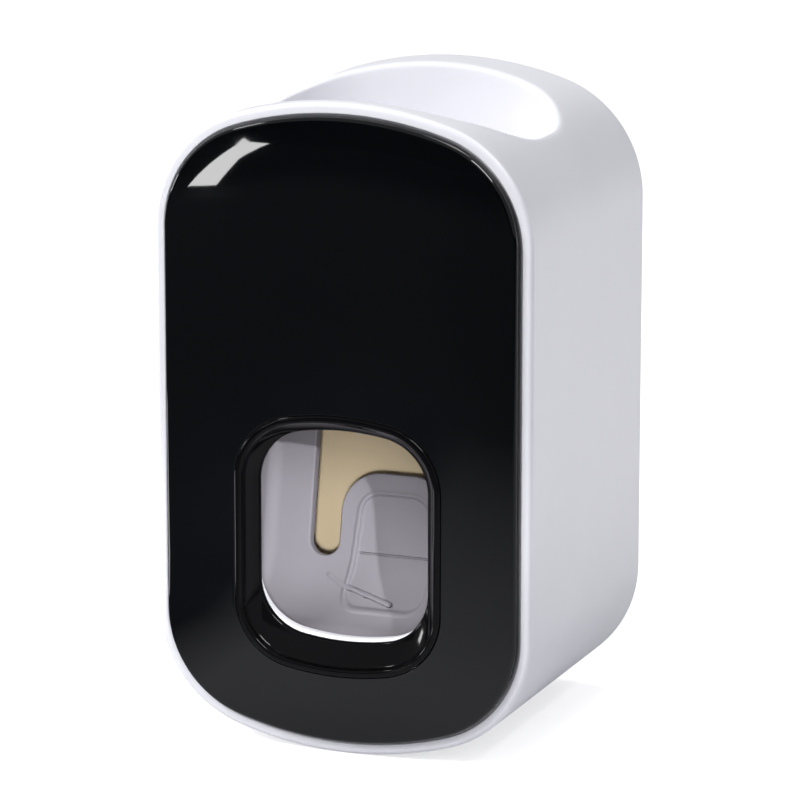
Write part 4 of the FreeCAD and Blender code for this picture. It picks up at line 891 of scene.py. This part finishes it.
# Studio: camera, floor, cards, world and lamps. The camera's angles, distance, lens and shift were fitted to
# the outline of the case, the panel and the window in the picture
YAW, PITCH = 21.72, 13.005
DISTANCE = 750.56
FOCAL_PIXELS = 4765.67
SHIFT = (0.491, 0.297)
MIDDLE_DEPTH = -26.41
IMAGE_WIDTH = 800
SENSOR = 36.0


def direction(azimuth, height):
    """A direction at an angle to the right of straight ahead and one above, both in degrees."""
    a, e = math.radians(azimuth), math.radians(height)
    return Vector((math.sin(a) * math.cos(e), -math.cos(a) * math.cos(e), math.sin(e)))


def camera_axes():
    """Right, up and back, as the camera stands."""
    back, right = direction(YAW, PITCH), direction(YAW + 90, 0)
    return right, back.cross(right), back


def make_camera():
    """The camera stands back from the middle of the case along its viewing angle, moved a little aside."""
    right, up, back = camera_axes()
    place = Vector((0, MIDDLE_DEPTH, 0)) + back * DISTANCE - right * SHIFT[0] - up * SHIFT[1]
    camera = bpy.data.cameras.new("camera")
    camera.sensor_width = SENSOR
    camera.lens = FOCAL_PIXELS * SENSOR / IMAGE_WIDTH
    camera.clip_start, camera.clip_end = 0.05, 20
    item = bpy.data.objects.new("camera", camera)
    turn = Matrix((right, up, back)).transposed().to_4x4()
    item.matrix_world = Matrix.Translation(place * MM) @ turn
    bpy.context.scene.collection.objects.link(item)
    bpy.context.scene.camera = item
    return place


camera_place = make_camera()


# The painted pool of light on the floor before the case, which only the gloss parts mirror: where it ends
# and where it is full, left to right and front to back
PAINTED_POOL_SIDE = (-62.0, -34.0)
PAINTED_POOL_FRONT = (-270.0, -70.0)
FLOOR_REAR_FADE = (0.0, 100.0)
FLOOR_GAP, FLOOR_HALF = 0.05, 14000.0


def add_card(name, corners, material):
    """A flat sheet of the studio from its four corners in millimetres."""
    data = bpy.data.meshes.new(name)
    data.from_pydata([tuple(Vector(corner) * MM) for corner in corners], [], [(0, 1, 2, 3)])
    item = bpy.data.objects.new(name, data)
    bpy.context.scene.collection.objects.link(item)
    data.materials.append(material)
    return item


def share_along(material, value, span):
    """A share that grows from 0 to 1 along a span of places in millimetres."""
    return add_node(material, "MapRange", {"Value": value}, From_Min=span[0] * MM,
                    From_Max=span[1] * MM).outputs["Result"]


def combined(material, operation, first, second):
    """Two values made into one: the larger of the two (MAXIMUM) or their product (MULTIPLY)."""
    return add_node(material, "Math", {0: first, 1: second}, operation=operation).outputs[0]


def floor_paint():
    """Pale and matt, and white to the camera where it isn't shaded. Mirrored in the gloss panel it shows a
    painted pool of light that fades to painted shade, a dark studio in front, and stays white behind the
    case."""
    material = new_material("studio_floor")
    ray = add_node(material, "LightPath").outputs
    place = add_node(material, "TexCoord").outputs["Object"]
    parts = add_node(material, "SeparateXYZ", {"Vector": place}).outputs
    # Painted pool of light for mirrored rays: pale near the case, painted shade further to the front and left
    painted_pool = combined(material, "MULTIPLY", share_along(material, parts["X"], PAINTED_POOL_SIDE),
                    share_along(material, parts["Y"], PAINTED_POOL_FRONT))
    painted_pool_floor = add_node(material, "BsdfDiffuse",
                              {"Color": tone_between(material, painted_pool, "3C3C40", "D2D2D6")})
    matt = add_node(material, "BsdfDiffuse", Color=linear("E2E2E5"))
    plain = add_node(material, "MixShader", {0: ray["Is Glossy Ray"], 1: matt.outputs[0],
                                             2: painted_pool_floor.outputs[0]})
    bright = add_node(material, "BsdfDiffuse", Color=(0.85, 0.85, 0.85, 1))
    glow = add_node(material, "Emission", Color=linear("FFFFFF"), Strength=0.62)
    seen = add_node(material, "AddShader", {0: bright.outputs[0], 1: glow.outputs[0]})
    behind = combined(material, "MULTIPLY", ray["Is Glossy Ray"],
                      share_along(material, parts["Y"], FLOOR_REAR_FADE))
    straight = combined(material, "MAXIMUM", ray["Is Camera Ray"], ray["Is Transmission Ray"])
    return finish_with(material, add_node(material, "MixShader", {
        0: combined(material, "MAXIMUM", straight, behind), 1: plain.outputs[0], 2: seen.outputs[0]}))


add_card("floor", [(x * FLOOR_HALF, y * FLOOR_HALF, case_low[2] - FLOOR_GAP)
                   for x, y in ((-1, -1), (1, -1), (1, 1), (-1, 1))], floor_paint())


# Where the bright patch in the panel's upper left lies in the picture, and how far its card stands off
PATCH_PIXELS = ((186.5, 185.5), (216.5, 185.0), (270.0, 143.0), (245.5, 138.0))
CARD_DISTANCE = 700.0


def sight(pixel):
    """The direction from the camera through a pixel of the picture."""
    u, v = (pixel[0] - IMAGE_WIDTH / 2) / FOCAL_PIXELS, (IMAGE_WIDTH / 2 - pixel[1]) / FOCAL_PIXELS
    right, up, back = camera_axes()
    return (right * u + up * v - back).normalized()


def panel_front(x, z):
    """Depth of the panel's pillowed front at a place."""
    return PANEL_FACE + pillow(np.array([[x, 0.0, z]]))[0]


def mirrored_place(pixel):
    """A point of the card that the panel's front mirrors at a pixel: the sight ray is followed to the
    front, turned about the front's normal there, and run on to the card's distance."""
    ray = sight(pixel)
    depth = PANEL_FACE
    for _ in range(4):
        place = camera_place + ray * ((depth - camera_place.y) / ray.y)
        depth = panel_front(place.x, place.z)
    step = 0.2
    rise_x, rise_z = [panel_front(place.x + x, place.z + z) - panel_front(place.x - x, place.z - z)
                      for x, z in ((step, 0), (0, step))]
    normal = Vector((rise_x, -2 * step, rise_z)).normalized()
    return place + (ray - 2 * ray.dot(normal) * normal) * CARD_DISTANCE


def light_paper(name, strength):
    """White paper lit from behind."""
    return plain_material(name, "Emission", "FFFFFF", Strength=strength)


add_card("light_card", [mirrored_place(pixel) for pixel in PATCH_PIXELS],
         light_paper("studio_light_card", 15.0))
# Two cards that only the gloss parts mirror: a streak on the lip's upper right, a line down its left side
glint = add_card("glint_card", ((300, -420, 720), (560, -420, 560), (620, -280, 640), (360, -280, 800)),
                 light_paper("studio_glint_card", 24.0))
low_glint = add_card("low_glint_card", ((-260, -130, -50.9), (-110, -130, -50.9), (-110, -56, -50.9),
                                        (-260, -56, -50.9)), light_paper("studio_low_glint_card", 5.0))
for card in (glint, low_glint):
    card.visible_camera = card.visible_diffuse = card.visible_shadow = False
# A dark cloth far in front, which the top of the gloss panel mirrors in place of the pale world
cloth = add_card("dark_cloth", ((-4000, -2500, -50), (1500, -2500, -50), (1500, -2500, 1100),
                                (-4000, -2500, 1100)),
                 plain_material("studio_dark_cloth", "BsdfDiffuse", "1C1C20"))
cloth.visible_diffuse = cloth.visible_shadow = False


def make_world():
    """A pale even world that lights the case, and is plain white to the camera and through clear parts."""
    world = bpy.data.worlds.new("studio")
    bpy.context.scene.world = world
    world.use_nodes = True
    world.node_tree.nodes.clear()
    ray = add_node(world, "LightPath").outputs
    light = add_node(world, "Background", Color=linear("F4F4F8"), Strength=0.38)
    white = add_node(world, "Background", Color=linear("FFFFFF"), Strength=1.0)
    straight = combined(world, "MAXIMUM", ray["Is Camera Ray"], ray["Is Transmission Ray"])
    mixed = add_node(world, "MixShader", {0: straight, 1: light.outputs[0], 2: white.outputs[0]})
    add_node(world, "OutputWorld", {"Surface": mixed.outputs[0]})


make_world()


def aimed(name, lamp, place, aim):
    """Hangs a lamp at a place and turns it to a point, both in millimetres."""
    item = bpy.data.objects.new(name, lamp)
    item.location = Vector(place) * MM
    item.rotation_euler = (Vector(aim) * MM - item.location).to_track_quat("-Z", "Y").to_euler()
    bpy.context.scene.collection.objects.link(item)
    return item


def add_softbox(name, place, power, size, in_gloss=True):
    """A square lamp turned to the case. The gloss parts can be kept from mirroring it."""
    lamp = bpy.data.lights.new(name, "AREA")
    lamp.energy, lamp.size = power, size * MM
    aimed(name, lamp, place, (0, MIDDLE_DEPTH, 0)).visible_glossy = in_gloss


WINDOW = Vector((0, FRONT, THROAT_MIDDLE))
SNOOT_DISTANCE, SNOOT_SIZE = 900, 24


def add_snoot(name, angles, aside, power, reach):
    """A lamp with a narrow cone that reaches only round the window, for the light inside it: the cone's half
    angle is that whose tangent is the reach over the distance. It is aimed a little aside of the middle."""
    place, aim = WINDOW + direction(*angles) * SNOOT_DISTANCE, WINDOW + Vector(aside)
    lamp = bpy.data.lights.new(name, "SPOT")
    lamp.energy, lamp.shadow_soft_size = power, SNOOT_SIZE * MM / 2
    lamp.spot_size = 2 * math.atan(reach / (place - aim).length)
    lamp.spot_blend = 0.25
    aimed(name, lamp, place, aim).visible_glossy = False


# The front from high on the left, the bowl and the crown from above, either side, and the glints
add_softbox("key_softbox", (-400, -560, 520), 4.7, 300, in_gloss=False)
add_softbox("bowl_softbox", (150, 80, 850), 1.75, 300)
add_softbox("top_softbox", (-500, -180, 610), 0.6, 90)
add_softbox("left_softbox", (-780, -280, 100), 0.8, 100)
add_softbox("right_softbox", (700, 330, -10), 0.45, 300)
add_softbox("glint_softbox", (500, -400, 640), 0.8, 60)
# What stands behind the window: one lamp from the right, whose shadow falls across the brush rest, and one
# from beside the camera
add_snoot("window_snoot", (39, 17), (-5, 0, 0), 33.0, 21)
add_snoot("front_snoot", (YAW, PITCH), (0, 0, -3.5), 23.0, 20)

scene = bpy.context.scene
scene.view_settings.view_transform = "Standard"
